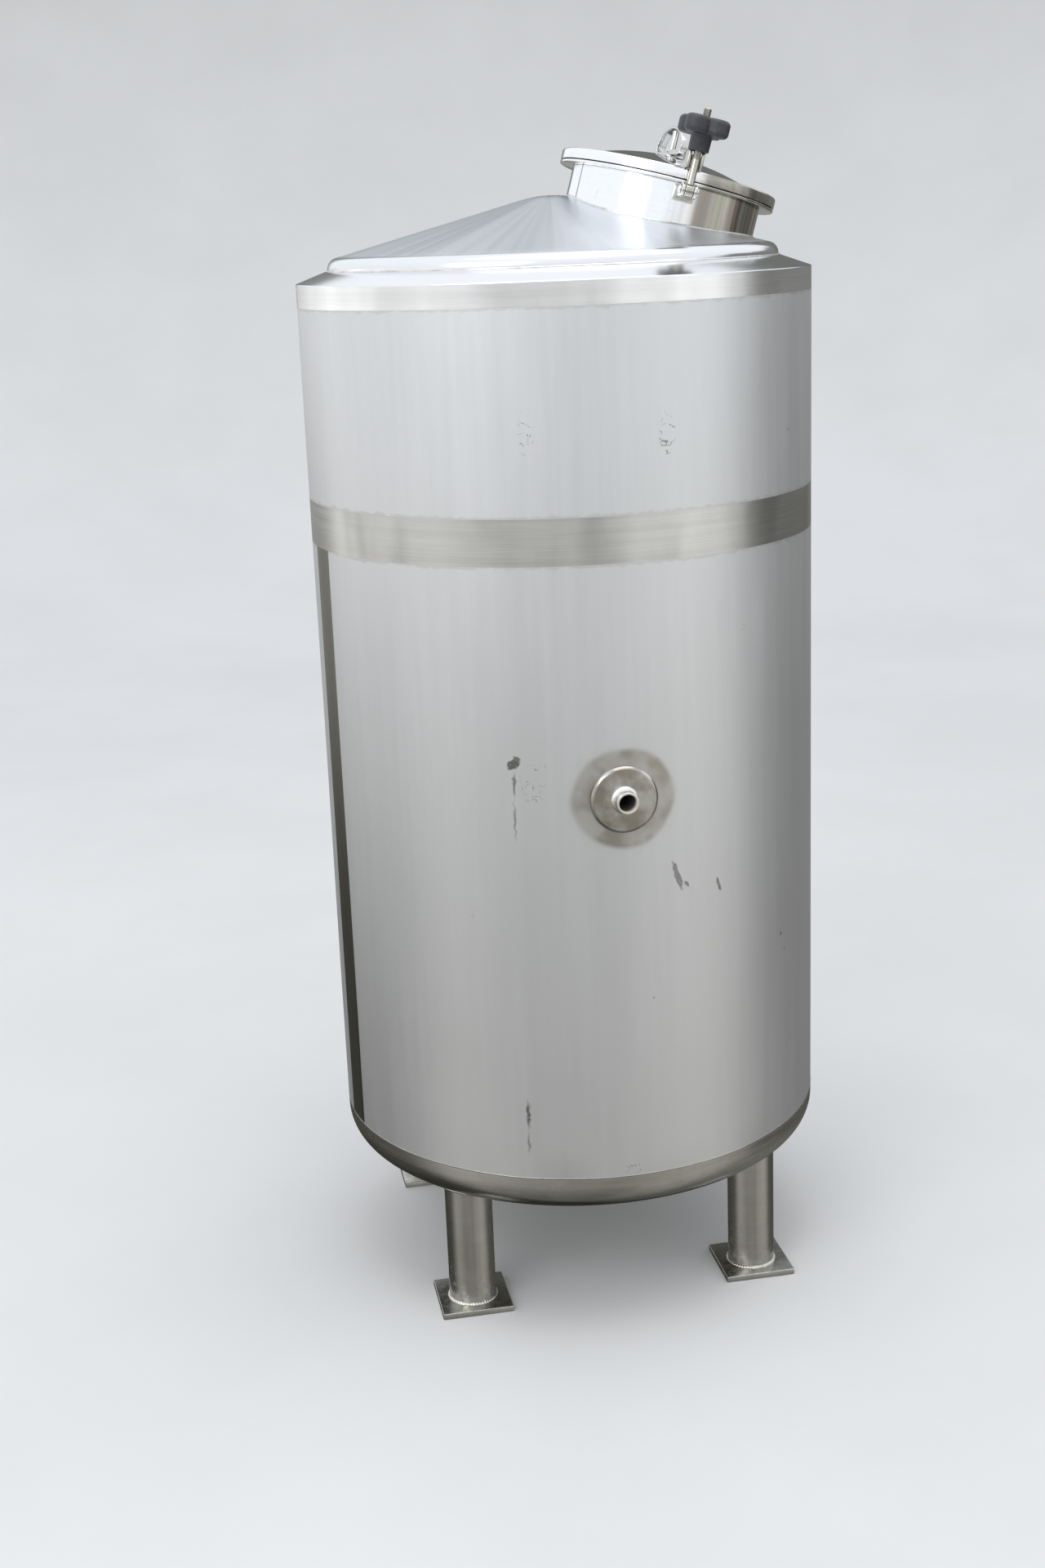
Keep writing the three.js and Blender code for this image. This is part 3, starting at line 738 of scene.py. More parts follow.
sheet_steel = shell_material("sheet_steel")
ring_grain = {"lines": (9, 9, 700), "rough": (0.19, 0.26), "depth": 0.000008, "waves": (7, 7, 2.5),
              "wave": 0.0016}
band_steel = ground_material("band_steel", (0.63, 0.63, 0.62), (0.72, 0.72, 0.715),
                             stain=((9, 9, 3), 3, 0.5, 0.42, 0.6, (0.44, 0.44, 0.425)), **ring_grain)
# Painted light: the top band has the middle band's ground finish, made much brighter to stand in for the
# light it catches at the top.
rim_steel_painted_bright = ground_material("rim_steel_painted_bright", (0.84, 0.845, 0.85), (0.94, 0.945, 0.95),
                            stain=((9, 9, 3), 3, 0.5, 0.42, 0.4, (0.62, 0.625, 0.62)), **ring_grain)
# Painted reflection: the seam strips' ground finish is coloured dark olive for the dark surroundings it
# mirrors.
seam_steel_painted_dark = ground_material("seam_steel_painted_dark", (0.34, 0.335, 0.295), (0.44, 0.435, 0.395), (500, 500, 6),
                             (0.13, 0.20), 0.00001, (9, 9, 3), 0.0006)
bottom_steel = ground_material("bottom_steel", (0.59, 0.585, 0.56), (0.68, 0.675, 0.65), (8, 8, 420),
                               (0.22, 0.30), 0.000006, (6, 6, 14), 0.0016,
                               ((6, 6, 16), 4, 0.6, 0.46, 0.6, (0.43, 0.42, 0.385)), Anisotropic=0.4)
head_steel = head_material("head_steel")
# The manway's steel carries painted reflections on the neck and skirt.
manway_steel = polished_material("manway_steel", (0.93, 0.935, 0.94), (0.045, 0.09), 0.00025, 9, True)
cast_steel = polished_material("cast_steel", (0.68, 0.675, 0.64), (0.12, 0.20), 0.0005, 50)
strap_steel = polished_material("strap_steel", (0.60, 0.605, 0.595), (0.09, 0.16), 0.00015, 30)
dull_steel = polished_material("dull_steel", (0.50, 0.485, 0.43), (0.14, 0.24), 0.0003, (50, 50, 12))
plain_steel = polished_material("plain_steel", (0.52, 0.52, 0.51), (0.30, 0.42), 0.0004, 12)
port_steel = turned_material("port_steel", "Y", (0.38, 0.355, 0.31), (0.62, 0.61, 0.58))
nipple_steel = turned_material("nipple_steel", "Y", (0.72, 0.71, 0.68), (0.84, 0.835, 0.81), True)
outlet_steel = turned_material("outlet_steel", "Z", (0.36, 0.335, 0.29), (0.60, 0.59, 0.56))
leg_steel = leg_material("leg_steel", 0.55, 0.6)
plate_steel = leg_material("plate_steel", 0.3, 0.15)
weld_steel = weld_material("weld_steel", (0.78, 0.775, 0.76), (0.55, 0.50, 0.42))
foot_weld = weld_material("foot_weld", (0.66, 0.64, 0.58), (0.42, 0.38, 0.30))
dull_weld = weld_material("dull_weld", (0.52, 0.51, 0.48), (0.40, 0.38, 0.33))
black_plastic = knob_material("black_plastic")
black_rubber = rubber_material("black_rubber")


# Surface heights that pieces meet

def head_height(r):
    """Height of the cone head's outer surface at a radius."""
    cone = CONE_Z + (CONE_R - r) * SLOPE_TAN
    crown = BLEND_Z + (APEX_BLEND**2 - r**2) / (2 * APEX_BLEND) * SLOPE_TAN
    return np.where(r < APEX_BLEND, crown, cone)


def bottom_height(r):
    """Height of the bottom head's underside at a radius."""
    flat = BOTTOM_EDGE_Z - (BOTTOM_EDGE_R - r) * math.tan(BOTTOM_SLOPE)
    inside = np.clip(BOTTOM_KNUCKLE**2 - (r - BOTTOM_CENTRE_R) ** 2, 0, None)
    return np.where(r < BOTTOM_EDGE_R, flat, BOTTOM_CENTRE_Z - np.sqrt(inside))


def dome_height(r, offset=0):
    """Height of the lid's dome at a radius, or of a surface at an offset from it."""
    sphere = (DOME_R**2 + DOME_RISE**2) / (2 * DOME_RISE)
    return LID_RIM_Z + DOME_RISE - sphere + math.sqrt((sphere + offset) ** 2 - r**2)


def neck_foot(radius, count, lift=0):
    """Where a cylinder about the manway's axis meets the cone, in the manway's frame."""
    ways = radius * circle(count)
    x, y, _ = ways.T
    c, s = math.cos(MANWAY_TILT), math.sin(MANWAY_TILT)
    low, high = np.full(count, -60), np.full(count, 60)
    for _ in range(40):
        z = (low + high) / 2
        tank_r = np.hypot(MANWAY_X + x * c + z * s, y)
        over = MANWAY_Z - x * s + z * c > head_height(tank_r) + lift
        high = np.where(over, z, high)
        low = np.where(over, low, z)
    return ways + np.outer((low + high) / 2, UP)


def wavy(vertices):
    """The slight unevenness and the shallow dents of the thin cladding."""
    x, y, z = vertices.T
    r = np.hypot(x, y)
    a = np.arctan2(x, -y)
    lift = 0.22 * np.sin(5 * a + z / 210) * np.sin(z / 330 + 1.3)
    lift += 0.16 * np.sin(9 * a - z / 150 + 0.7)
    fade = np.clip((RIM_Z - 6 - z) / 60, 0, 1) * np.clip((z - 215) / 40, 0, 1)
    near_port = np.exp(-(((a * SHELL_R) / 110) ** 2 + ((z - PORT_Z) / 110) ** 2))
    lift *= fade * (1 - near_port)
    for u, height, width, tall, depth in (
        (-108, 262, 34, 26, 2),
        (60, 255, 70, 22, 1.2),
        (250, 262, 46, 26, 1.4),
        (-300, 420, 60, 90, 0.7),
        (310, 600, 40, 60, 0.6),
    ):
        lift -= depth * np.exp(-(((a * SHELL_R - u) / width) ** 2) - ((z - height) / tall) ** 2)
    grown = (r + lift) / np.maximum(r, 1e-6)
    return np.stack([x * grown, y * grown, z], 1)


# Shell

def ring_profile(bottom, top, step):
    inside = SHELL_R - SHEET
    return divided([(SHELL_R, bottom), (SHELL_R, top), (inside, top), (inside, bottom)], step)


def build_shell():
    split = SEAM_HALF + GAP / SHELL_R
    port_hole = plug(PORT_OUT_R + GAP, 380, 420, 48, PORT)
    walls = (("lower", ring_profile(SHELL_BOTTOM, MID_BAND[0], 16), math.pi + SEAM_TURN, port_hole),
             ("upper", ring_profile(MID_BAND[1], TOP_BAND_Z, 16), QUARTER, None))
    for part, profile, seam, cutter in walls:
        sheet = Shape().lathe(profile, 200, True, seam + split, seam + TURN - split, warp=wavy)
        make(f"{part}_shell_sheet", sheet, sheet_steel, f"{part}_shell", sharp=50,
             cutter=cutter)
    for part, profile, seam, _ in walls:
        strip = Shape().lathe(profile, 12, True, seam - SEAM_HALF, seam + SEAM_HALF, warp=wavy)
        make(f"{part}_seam_strip", strip, seam_steel_painted_dark, f"{part}_seam", sharp=50)
    for name, node, material, heights in (("middle_band_ring", "middle_band", band_steel, MID_BAND),
                                          ("top_band_ring", "top_band", rim_steel_painted_bright, (TOP_BAND_Z, RIM_Z))):
        shape = Shape().lathe(ring_profile(*heights, 6), ROUND, warp=wavy)
        make(name, shape, material, node, sharp=50)


def build_bottom():
    hole = OUTLET_R[1] + GAP
    centre, start = (BOTTOM_CENTRE_R, BOTTOM_CENTRE_Z), -QUARTER - BOTTOM_SLOPE
    outer = [(hole, float(bottom_height(hole)))] + arc(*centre, BOTTOM_KNUCKLE, start, 0, 20)
    outer += [(SHELL_R, SHELL_BOTTOM)]
    inner = [(hole, float(bottom_height(hole)) + SHEET)] + arc(*centre, BOTTOM_KNUCKLE - SHEET, start, 0, 10)
    inner += [(SHELL_R - SHEET, SHELL_BOTTOM)]
    dish = Shape().lathe(divided(outer + inner[::-1], 40), ROUND, warp=wavy)
    make("bottom_head_dish", dish, bottom_steel, "bottom_head", sharp=50)
    ways = circle(720)
    line = Shape().bead(wavy(ways * (SHELL_R - 0.25) + SHELL_BOTTOM * UP), ways, 1.3, 0.1, 9, 0.4)
    make("bottom_weld", line, dull_weld)


def build_outlet():
    bore, pipe = OUTLET_R
    low, high = OUTLET_Z
    profile = rounded([(FERRULE_R, low, 0.6), (FERRULE_R, low + 4, 1.2), (pipe, low + 9, 2), (pipe, high),
                       (bore, high), (bore, low, 0.5)])
    make("bottom_outlet_pipe", Shape().lathe(profile, 96), outlet_steel, "bottom_outlet")
    ways, radius = circle(120), pipe + 0.6
    places = ways * radius + (float(bottom_height(radius)) - 0.8) * UP
    make("outlet_weld", Shape().bead(places, ways - 0.6 * UP, 2.2), weld_steel)


def build_shoulder():
    inside, low, high = HEAD_FOOT_R + GAP, HEAD_FOOT_Z, HEAD_FOOT_Z + 2.5
    profile = rounded([(SHELL_R, RIM_Z), (SHELL_R, RIM_Z + 2.5, 3.2), (inside, high), (inside, low),
                       (SHELL_R - SHEET, RIM_Z)], 6)
    shape = Shape().lathe(profile, ROUND)
    make("shoulder_cone_ring", shape, head_steel, "shoulder_ring", sharp=50)
    ways = circle(800)
    places = ways * (HEAD_FOOT_R + 1.2) + (high + 0.1) * UP
    bead = Shape().bead(places, ways * 0.55 + 0.83 * UP, 1.5, 0.06, 6)
    make("head_foot_weld", bead, weld_steel)


def build_head():
    foot = HEAD_FOOT_Z - 8
    centre = (HEAD_FOOT_R - HEAD_KNUCKLE, HEAD_FOOT_Z + HEAD_RISER)
    knuckle = arc(*centre, HEAD_KNUCKLE, 0, QUARTER - HEAD_SLOPE, 14)
    radii = [*np.linspace(CONE_R, APEX_BLEND, 16)[1:], *np.linspace(APEX_BLEND, 0, 8)[1:]]
    outer = knuckle + [(float(r), float(head_height(r))) for r in radii]
    inner = [(HEAD_FOOT_R - SHEET, foot)]
    for r, z in outer:
        inner.append((max(r - SHEET * (1 if z < CONE_Z - 4 else 0.25), 0), z - SHEET))
    shape = Shape().lathe([(HEAD_FOOT_R, foot)] + outer + inner[::-1], ROUND, False)
    make("cone_head_sheet", shape, head_steel, "cone_head", sharp=50,
         cutter=plug(NECK_R - NECK_WALL, -80, 80, 96, NECK_AXIS))


# Manway

def build_neck():
    top = FLANGE_Z[0] - GAP
    rings = []
    for radius in (NECK_R, NECK_R - NECK_WALL):
        foot = neck_foot(radius, 256, -2)
        rings.append((foot, foot * (1, 1, 0) + top * UP))
    neck = Shape().wall(rings, 8)
    make("manway_neck_ring", neck, manway_steel, "manway_neck", MANWAY, 50)
    bead = Shape().bead(neck_foot(NECK_R + 1, 640, 0.9), 0.7 * (circle(640) + UP), 1.7, 0.05, 6)
    make("neck_weld", bead, weld_steel, matrix=MANWAY)

    # The weld that closes the rolled neck, ground nearly flush
    out = circle(360)[-NECK_SEAM]
    side = np.cross(UP, out)
    low = float(neck_foot(NECK_R, 360)[-NECK_SEAM][2])
    places = [out * (NECK_R - 0.4) + h * UP for h in np.linspace(low, top, 60)]
    section = [(2 * x, 0.9 * y) for x, y, _ in circle(8)]
    shape = Shape().sweep(places, [side] * len(places), [out] * len(places), section)
    # In the seam strips' steel, with its painted dark reflection.
    make("neck_seam_weld", shape, seam_steel_painted_dark, matrix=MANWAY)


def build_flange():
    low, high = FLANGE_Z
    inside = NECK_R - NECK_WALL
    profile = rounded([(FLANGE_R, low, 1.2), (FLANGE_R, high, 1.2), (inside, high), (inside, low)])
    flange = Shape().lathe(profile, ROUND)
    make("neck_flange_ring", flange, manway_steel, "neck_flange", MANWAY)
    inside, outside = GASKET_R
    low, high = FLANGE_Z[1] + GAP, LID_RIM_Z - SHEET - GAP
    profile = rounded([(outside, low, 1), (outside, high, 1), (inside, high, 1), (inside, low, 1)])
    make("gasket_ring", Shape().lathe(profile, 200), black_rubber, "gasket", MANWAY)


def build_lid():
    inside = FLANGE_R - SHEET
    dome = [(r, dome_height(r)) for r in np.linspace(DOME_R, 0, 16)]
    under = [(r, dome_height(r, -SHEET)) for r in np.linspace(0, DOME_R - 4, 10)]
    edge = DOME_R - 3
    profile = [(inside, SKIRT_Z, 0.8), (FLANGE_R, SKIRT_Z, 0.8), (FLANGE_R, LID_RIM_Z, 3),
               (DOME_R + 6, LID_RIM_Z, 6), (edge, dome_height(edge))]
    profile = under + [(inside, LID_RIM_Z - SHEET)] + rounded(profile, 6, closed=False) + dome[1:]
    lid = Shape().lathe(profile, ROUND, False)
    make("lid_cover", lid, manway_steel, "lid", MANWAY, 40)


def crosswise(radial, height):
    """Stands a lathe's axis along X, on a pin's line at the manway's -Y side."""
    return Matrix.Translation((0, -radial, height)) @ Matrix.Rotation(QUARTER, 4, "Y")


def bracket_shape(radial, height, low):
    """Two lugs on a pad, reaching out along -Y of the manway and rounded about a pin's line."""
    nose = arc(radial, height, LUG_R, -QUARTER, QUARTER, 16)[1:]
    outline = rounded([(NECK_R - 2, low), (radial, low), *nose, (NECK_R + 5, BRACKET_TOP, 5),
                       (NECK_R - 2, BRACKET_TOP)], 4)
    # The plate's x becomes -Y, its y becomes Z and its z becomes X.
    stand = Matrix(((0, 0, 1, 0), (-1, 0, 0, 0), (0, 1, 0, 0), (0, 0, 0, 1)))
    shape = Shape()
    for x in (-12, 12 - LUG_T):
        shape.plate(outline, LUG_T, 1.3, Matrix.Translation((x, 0, 0)) @ stand)
    return shape.block((-16, -NECK_R - 4, low - 4), (16, -NECK_R + 2.2, BRACKET_TOP), 1.6)


def pin_shape(radial, height, half=12):
    """A pin along X with a domed head at each end."""
    shank, knob = PIN_R
    head, tip = half + 0.2, half + 3.2
    profile = rounded([(0, -tip), (knob, -tip, 1.6), (knob, -head, 0.4), (shank, -head), (shank, head),
                       (knob, head, 0.4), (knob, tip, 1.6), (0, tip)], 4, closed=False)
    return Shape().lathe(profile, 40, False, matrix=crosswise(radial, height))


def eye_shape(radial, height, half, edge):
    """The eye of a swinging piece, around a pin along X."""
    bore, outside = EYE_R
    profile = [(bore, -half, 0.6), (outside, -half, edge), (outside, half, edge), (bore, half, 0.6)]
    return Shape().lathe(rounded(profile, 4), 48, matrix=crosswise(radial, height))


def thread(low, high, sides=28):
    """Rows of points on the swing bolt's thread, which runs out below and has a chamfered tip."""
    z = np.linspace(low, high, int((high - low) / PITCH * 6) + 1)[:, None]
    phase = ((z - low) / PITCH - np.arange(sides) / sides) % 1
    groove = THREAD_DEPTH * (1 - abs(2 * phase - 1)) * np.minimum(1, (z - low) / (2 * PITCH))
    radii = np.minimum(BOLT_R - groove, BOLT_R - 1.3 + high - z)
    return (radii[:, :, None] * circle(sides) + z[:, :, None] * UP).reshape(-1, 3)


def build_clamp():
    bracket = bracket_shape(CLAMP_R, PIVOT_Z, PIVOT_Z - LUG_R)
    make("clamp_bracket_lugs", bracket, cast_steel, "clamp_bracket", FITTINGS, 45)
    pin = pin_shape(CLAMP_R, PIVOT_Z)
    make("clamp_pin_headed", pin, cast_steel, "clamp_pin", FITTINGS)
    place = Matrix.Translation((0, -CLAMP_R, 0))
    start = HUB_BOTTOM - 13
    shank = [(0, PIVOT_Z + 6), (6.4, PIVOT_Z + 6), (6.4, PIVOT_Z + 10.5, 2), (BOLT_R, PIVOT_Z + 16),
             (BOLT_R, start + 0.2), (0, start + 0.2)]
    bolt = eye_shape(CLAMP_R, PIVOT_Z, 6.5, 1.6)
    bolt.lathe(rounded(shank, 3, closed=False), 40, False, matrix=place)
    bolt.grid(thread(start, BOLT_TIP), 28, False, place)
    make("swing_bolt_threaded", bolt, dull_steel, "swing_bolt", FITTINGS,
         body="clamp_bolt")


def build_knob():
    """A hand knob with four broad rounded lobes on a hub."""
    columns = 160
    low, high = HUB_BOTTOM + HUB_TALL, HUB_BOTTOM + HUB_TALL + KNOB_T
    angles = np.linspace(0, TURN, columns, endpoint=False)
    swell = 0.5 + 0.5 * np.cos(4 * (angles - KNOB_TURN))
    lobes = KNOB_VALLEY + (KNOB_R - KNOB_VALLEY) * swell**0.55
    edge, bore = KNOB_EDGE, BOLT_R + GAP
    rings = [
        (bore, HUB_BOTTOM),
        (HUB_R - 1.8, HUB_BOTTOM),
        (HUB_R - 0.9, HUB_BOTTOM + 0.3),
        (HUB_R - 0.5, HUB_BOTTOM + 1.2),
        (HUB_R, low - 3),
        (HUB_R + 0.8, low - 0.8),
        (HUB_R + 2.4, low),
    ]
    for middle, start in ((low + edge, -QUARTER), (high - edge, 0)):
        for a in np.linspace(start, start + QUARTER, 8):
            radii = np.maximum(lobes - edge * (1 - math.cos(a)), HUB_R + 2.6)
            rings.append((radii, middle + edge * math.sin(a)))
    for share in (0.80, 0.55, 0.36):
        rings.append((np.maximum((lobes - edge) * share, 9.5), high - 0.56 * (1 - share)))
    rings += [(9, high - 0.5), (bore + 0.8, high - 0.6), (bore, high - 1.4)]
    vertices = np.vstack([circle(columns) * np.reshape(radii, (-1, 1)) + z * UP for radii, z in rings])
    shape = Shape().grid(vertices, columns, True, Matrix.Translation((0, -CLAMP_R, 0)))
    make("clamp_knob_grip", shape, black_plastic, "clamp_knob", FITTINGS, 60,
         "clamp_grip")


def build_fork():
    (inner, outer), front, bend = FORK_R, 0.5 - CLAMP_R, -FORK_BEND
    points = [(inner, front, 1.6), (outer, front, 1.6), *arc(0, bend, outer, 0, math.pi, 20)]
    points += [(-outer, front, 1.6), (-inner, front, 1.6), *arc(0, bend, inner, math.pi, 0, 20)]
    place = Matrix.Translation((0, 0, LID_RIM_Z))
    shape = Shape().plate(rounded(points, 3), FORK_TOP - LID_RIM_Z, 1.5, place)
    make("lid_fork_strap", shape, dull_steel, "lid_fork", FITTINGS, 45)


def strap(flat, outs, half_width, half_thick, edge, closed=False):
    """A strap along a line of (y, z) points, with its outward directions."""
    places, outs = np.insert(flat, 0, 0, axis=1), np.insert(outs, 0, 0, axis=1)
    sides = np.tile([1, 0, 0], (len(places), 1))
    section = rounded([(-half_width, -half_thick, edge), (half_width, -half_thick, edge),
                       (half_width, half_thick, edge), (-half_width, half_thick, edge)], 3)
    return Shape().sweep(places, sides, outs, section, closed)


def build_handle():
    """A closed loop of strap on the dome, held by a stud and a nut."""
    half = HANDLE_T / 2
    low, top = HANDLE_Z[0] + half, HANDLE_Z[1] - half
    reach, corner = HANDLE_REACH - half, HANDLE_CORNER - half
    middle = low + corner

    def bend(y, across, tall, start, end, steps):
        """Part of an ellipse after its first point, as rows of a place and an outward direction."""
        angles = np.linspace(start, end, steps + 1)[1:]
        unit = np.stack([np.cos(angles), np.sin(angles)], 1)
        ways = unit * (tall, across)
        ways /= np.linalg.norm(ways, axis=1)[:, None]
        return np.hstack([unit * (across, tall) + (y, middle), ways])

    end = reach - corner
    flat = np.linspace((-end, low, 0, -1), (end, low, 0, -1), 13)
    right = bend(end, corner, corner, -QUARTER, 0, 8)
    bow = bend(0, reach, top - middle, 0, math.pi, 48)
    left = bend(-end, corner, corner, math.pi, 3 * QUARTER, 8)
    line = np.vstack([flat, right, bow[:-1], left[:-1]])
    loop = strap(line[:, :2], line[:, 2:], HANDLE_W / 2, half, 1.3, True)
    place = MANWAY @ Matrix.Translation((HANDLE_X * MM, 0, 0)) @ Matrix.Rotation(HANDLE_TURN, 4, "Z")
    make("lid_handle_loop", loop, strap_steel, "lid_handle", place, 45)
    base = LID_RIM_Z + DOME_RISE
    profile = [(0, base - 6), (13, base - 6), (13, base + 2, 0.8), (5, base + 2), (5, STUD_TOP, 2.2),
               (0, STUD_TOP)]
    stud = Shape().lathe(rounded(profile, 4, closed=False), 48, False)
    under, over = NUT_Z
    nut = [(0, under), (8.6, under), (9.2, under + 0.6), (9.2, over - 0.8), (8.2, over), (0, over)]
    stud.lathe(nut, 6, False)
    make("lid_stud_nut", stud, cast_steel, "lid_stud", place, 30)


def build_hinge():
    front = bracket_shape(HINGE_R, HINGE_Z, 20)
    bracket = Shape().put(front.vertices, front.faces, Matrix.Rotation(math.pi, 4, "Z"))
    make("hinge_bracket_lugs", bracket, cast_steel, "hinge_bracket", FITTINGS, 45,
         cutter=plug(FLANGE_R + 1, FLANGE_Z[0] - 1, 110, 128))
    pin = pin_shape(-HINGE_R, HINGE_Z)
    make("hinge_pin_headed", pin, cast_steel, "hinge_pin", FITTINGS)
    route = ((HINGE_R, 6), (HINGE_R + 3, 21), (176, 33), (150, 35), (128, 30), (112, 20))
    flat, ways = smooth_line([(y, HINGE_Z + rise) for y, rise in route], 60)
    arm = strap(flat, np.stack([-ways[:, 1], ways[:, 0]], 1), 5, 7, 3)
    eye = eye_shape(-HINGE_R, HINGE_Z, 5, 1.4)
    arm.put(eye.vertices, eye.faces)
    make("hinge_arm_bent", arm, cast_steel, "hinge_arm", FITTINGS, 45)


# Legs and port

def build_legs():
    fine = circle(200)
    for i in range(4):
        turn = QUARTER * (i + 0.5)
        centre = LEG_CIRCLE * np.array([math.cos(turn), math.sin(turn), 0])
        rings = []
        for radius in (LEG_R, LEG_R - LEG_WALL):
            ring = centre + radius * circle(72)
            top = np.minimum(bottom_height(np.hypot(ring[:, 0], ring[:, 1])) + 1, LEG_TOP)
            rings.append((ring + FOOT_T * UP, ring + np.outer(top, UP)))
        make(f"leg_pipe_{i + 1}", Shape().wall(rings, 10), leg_steel, f"leg_{i + 1}", sharp=50)

        ring = centre + fine * (LEG_R + 0.8)
        top = np.minimum(bottom_height(np.hypot(ring[:, 0], ring[:, 1])), LEG_TOP - 4) - 0.6
        weld = Shape().bead(ring + np.outer(top, UP), 0.8 * fine - 0.6 * UP, 2.4, 0.14, 5)
        weld.bead(ring + (FOOT_T + 0.8) * UP, 0.7 * (fine + UP), 3, 0.22, 4.6)
        make(f"leg_welds_{i + 1}", weld, foot_weld)

        x, y, half = centre[0], centre[1], FOOT_SIZE / 2
        plate = Shape().block((x - half, y - half, 0), (x + half, y + half, FOOT_T), 1.2)
        make(f"foot_plate_slab_{i + 1}", plate, plate_steel, f"foot_plate_{i + 1}", sharp=45)


def build_port():
    root, face, collar = 390, PORT_DISC_FACE, PORT_OUT_R + GAP
    profile = rounded([(PORT_DISC_R, root), (PORT_DISC_R, face - 3.5, 1.6), (PORT_DISC_R - 3.5, face, 2.5),
                       (collar, face), (collar, root)], 5)
    disc = Shape().lathe(profile, 128, matrix=PORT)
    make("port_disc_ring", disc, port_steel, "port_disc",
         cutter=plug(SHELL_R - 1, 0, 1500, 360))
    profile = rounded([(PORT_OUT_R, PORT_START), (PORT_OUT_R, PORT_END, 0.9), (PORT_BORE_R, PORT_END, 0.6),
                       (PORT_BORE_R, PORT_START)], 4)
    pipe = Shape().lathe(profile, 96, matrix=PORT)
    make("port_nipple_pipe", pipe, nipple_steel, "port_nipple")
    ways = circle(160)
    places = ways * (PORT_OUT_R + 1.2) + (face + 0.4) * UP
    bead = Shape().bead(places, ways * 0.65 + 0.75 * UP, 3.2, 0.02, 5, 0.6, PORT)
    make("port_weld", bead, nipple_steel)


for build in (build_shell, build_bottom, build_outlet, build_shoulder, build_head, build_neck, build_flange,
              build_lid, build_clamp, build_knob, build_fork, build_handle, build_hinge, build_legs,
              build_port):
    build()

for node in ("vessel_wall", "vessel_bottom"):
    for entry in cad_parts[node].material_slots:
        entry.material = plain_steel


# Stage

def build_stage():
    """A floor that rises into a far wall without an edge. Only the camera sees it."""
    profile = [(r, 0) for r in (0, 1000, 2000, 3500, 5000)]
    profile += arc(5000, 5000, 5000, -QUARTER, 0, 24)[1:] + [(10000, 9000)]
    stage = linked("floor", Shape().lathe(profile, 128, False), 180)
    stage.data.materials.append(floor_material("floor_pale"))
    stage.visible_glossy = False
    stage.visible_diffuse = False
    stage.visible_shadow = False


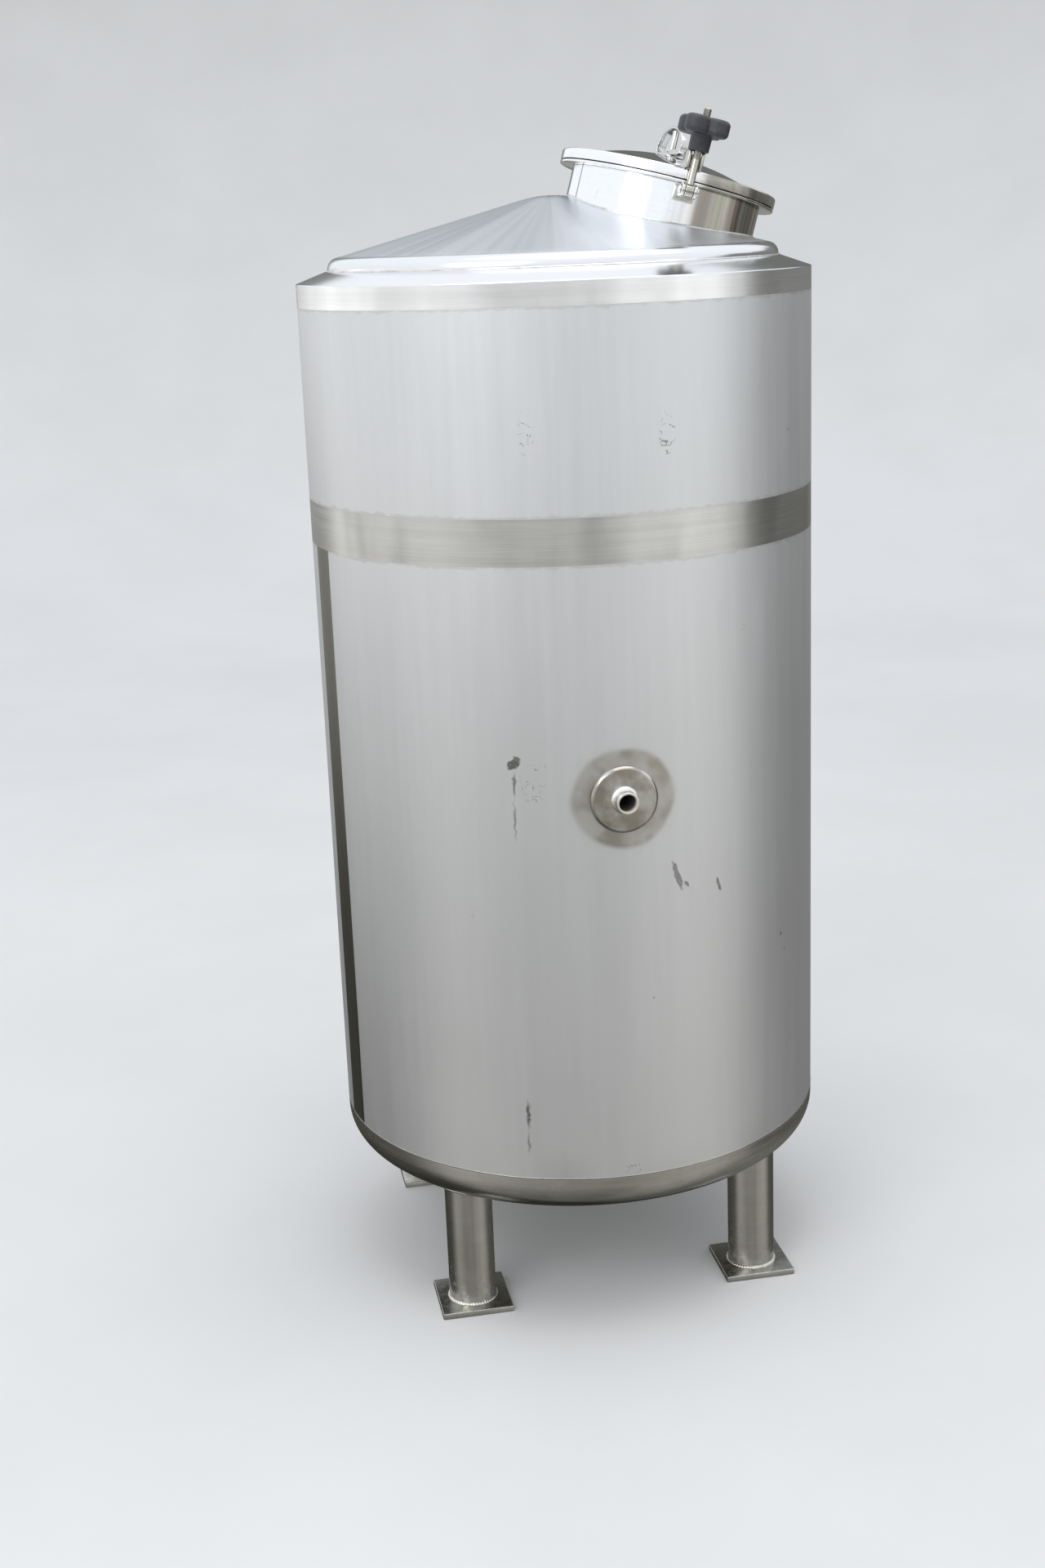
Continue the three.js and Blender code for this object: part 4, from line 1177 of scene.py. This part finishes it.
def build_world():
    """An overcast studio: bright in front and overhead, a darker low band behind, a warm dim ground."""
    world = bpy.data.worlds.new("studio")
    scene.world = world
    world.use_nodes = True
    g = Graph(world.node_tree)
    place = g.node("TexCoord", out="Generated")
    x, y, z = g.separate(place)
    level = g.vector("NORMALIZE", g.combine(x, y))

    def towards(right, near, far):
        """One around a direction, in degrees to the right of -Y, falling to zero from near to far."""
        a, near, far = (math.radians(angle) for angle in (right, near, far))
        facing = g.vector("DOT_PRODUCT", level, (math.sin(a), -math.cos(a), 0))
        return g.remap(facing, math.cos(far), math.cos(near))

    # Where things stood around the tank, each with the heights at which it shows
    dark = g.times(towards(134, 46, 60), g.remap(z, -0.75, -0.40, 0.30, 1))
    behind = g.times(towards(161, 9, 22), g.remap(z, -0.05, 0.05))
    low_back = g.times(towards(184, 22, 46), g.remap(z, -0.08, -0.13))
    low_left = g.times(towards(-134, 24, 60), g.remap(z, -0.17, -0.36))

    sides = g.blend(towards(-100, 34, 62), (0.80, 0.80, 0.80), (1.16, 1.16, 1.16))
    sides = g.blend(towards(44, 12, 32), sides, (1.20, 1.20, 1.20))
    posts = g.noise(level, 5.5, 3, 0.6)
    sides = g.vector("MULTIPLY", sides, g.remap(posts, 0.36, 0.62, 0.86, 1.08))
    sides = g.blend(dark, sides, (0.22, 0.22, 0.21))
    sides = g.blend(low_left, sides, (0.17, 0.17, 0.16))
    shade = g.blend(g.remap(z, -0.16, -0.34), (0.42, 0.42, 0.41), (0.125, 0.125, 0.11))
    sides = g.blend(low_back, sides, shade)
    sides = g.blend(behind, sides, (0.145, 0.15, 0.135))

    ramp = g.node("ValToRGB", {0: g.remap(z, -1, 1, kind="LINEAR")})
    stops = ramp.node.color_ramp.elements
    stops[0].position, stops[0].color = 0, (0.16, 0.155, 0.14, 1)
    stops[1].position, stops[1].color = 0.56, (1.02, 1.04, 1.07, 1)
    for at, colour in ((0.25, (0.38, 0.37, 0.34)), (0.40, (0.66, 0.65, 0.62)), (0.465, (0.84, 0.84, 0.82)),
                       (0.50, (1, 1, 1))):
        stops.new(at).color = (*colour, 1)
    low = g.vector("MULTIPLY", ramp, sides)
    sky = g.blend(g.remap(z, 0.1, 0.9), (0.98, 1.02, 1.08), (1.08, 1.11, 1.16))

    # The dark band behind the tank has an uneven top; elsewhere the sky begins at the horizon.
    stretched = g.node("Mapping", {"Vector": place, "Scale": (3.2, 3.2, 0.9)})
    ragged = g.remap(g.noise(stretched, 1.6, 4, 0.6), 0.3, 0.7, -0.05, 0.07)
    height = g.mixed(behind, g.mixed(dark, 0.06, 0.24), 0.50)
    over = g.math("SUBTRACT", g.math("SUBTRACT", z, height), ragged)
    colour = g.blend(g.remap(over, -0.04, 0.06), low, sky)
    g.links.new(colour, g.nodes["Background"].inputs[0])


def build_lamps():
    for name, where, size, power, aim in (
        ("key", (-3.4, -3.4, 3.8), (3, 2.4), 60, (0, 0, 1.1)),
        ("top", (0.4, -0.6, 4.6), (3, 3), 40, (0, 0, 0)),
    ):
        light = bpy.data.lights.new(name, "AREA")
        light.shape = "RECTANGLE"
        light.size, light.size_y = size
        light.energy = power
        lamp = bpy.data.objects.new(name, light)
        scene.collection.objects.link(lamp)
        lamp.location = where
        lamp.rotation_euler = (Vector(aim) - Vector(where)).to_track_quat("-Z", "Y").to_euler()
    scene.view_settings.view_transform = "Standard"
    scene.view_settings.look = "None"


def build_camera():
    data = bpy.data.cameras.new("camera")
    data.sensor_fit = "AUTO"
    data.sensor_width = SENSOR
    data.lens = CAMERA_FOCAL * SENSOR
    camera = bpy.data.objects.new("camera", data)
    scene.collection.objects.link(camera)
    turned = Matrix.Rotation(-CAMERA_YAW, 4, "Z") @ Matrix.Rotation(QUARTER + CAMERA_PITCH, 4, "X")
    camera.matrix_world = Matrix.Translation(CAMERA_PLACE) @ turned @ Matrix.Rotation(-CAMERA_ROLL, 4, "Z")
    scene.camera = camera


build_stage()
build_world()
build_lamps()
build_camera()
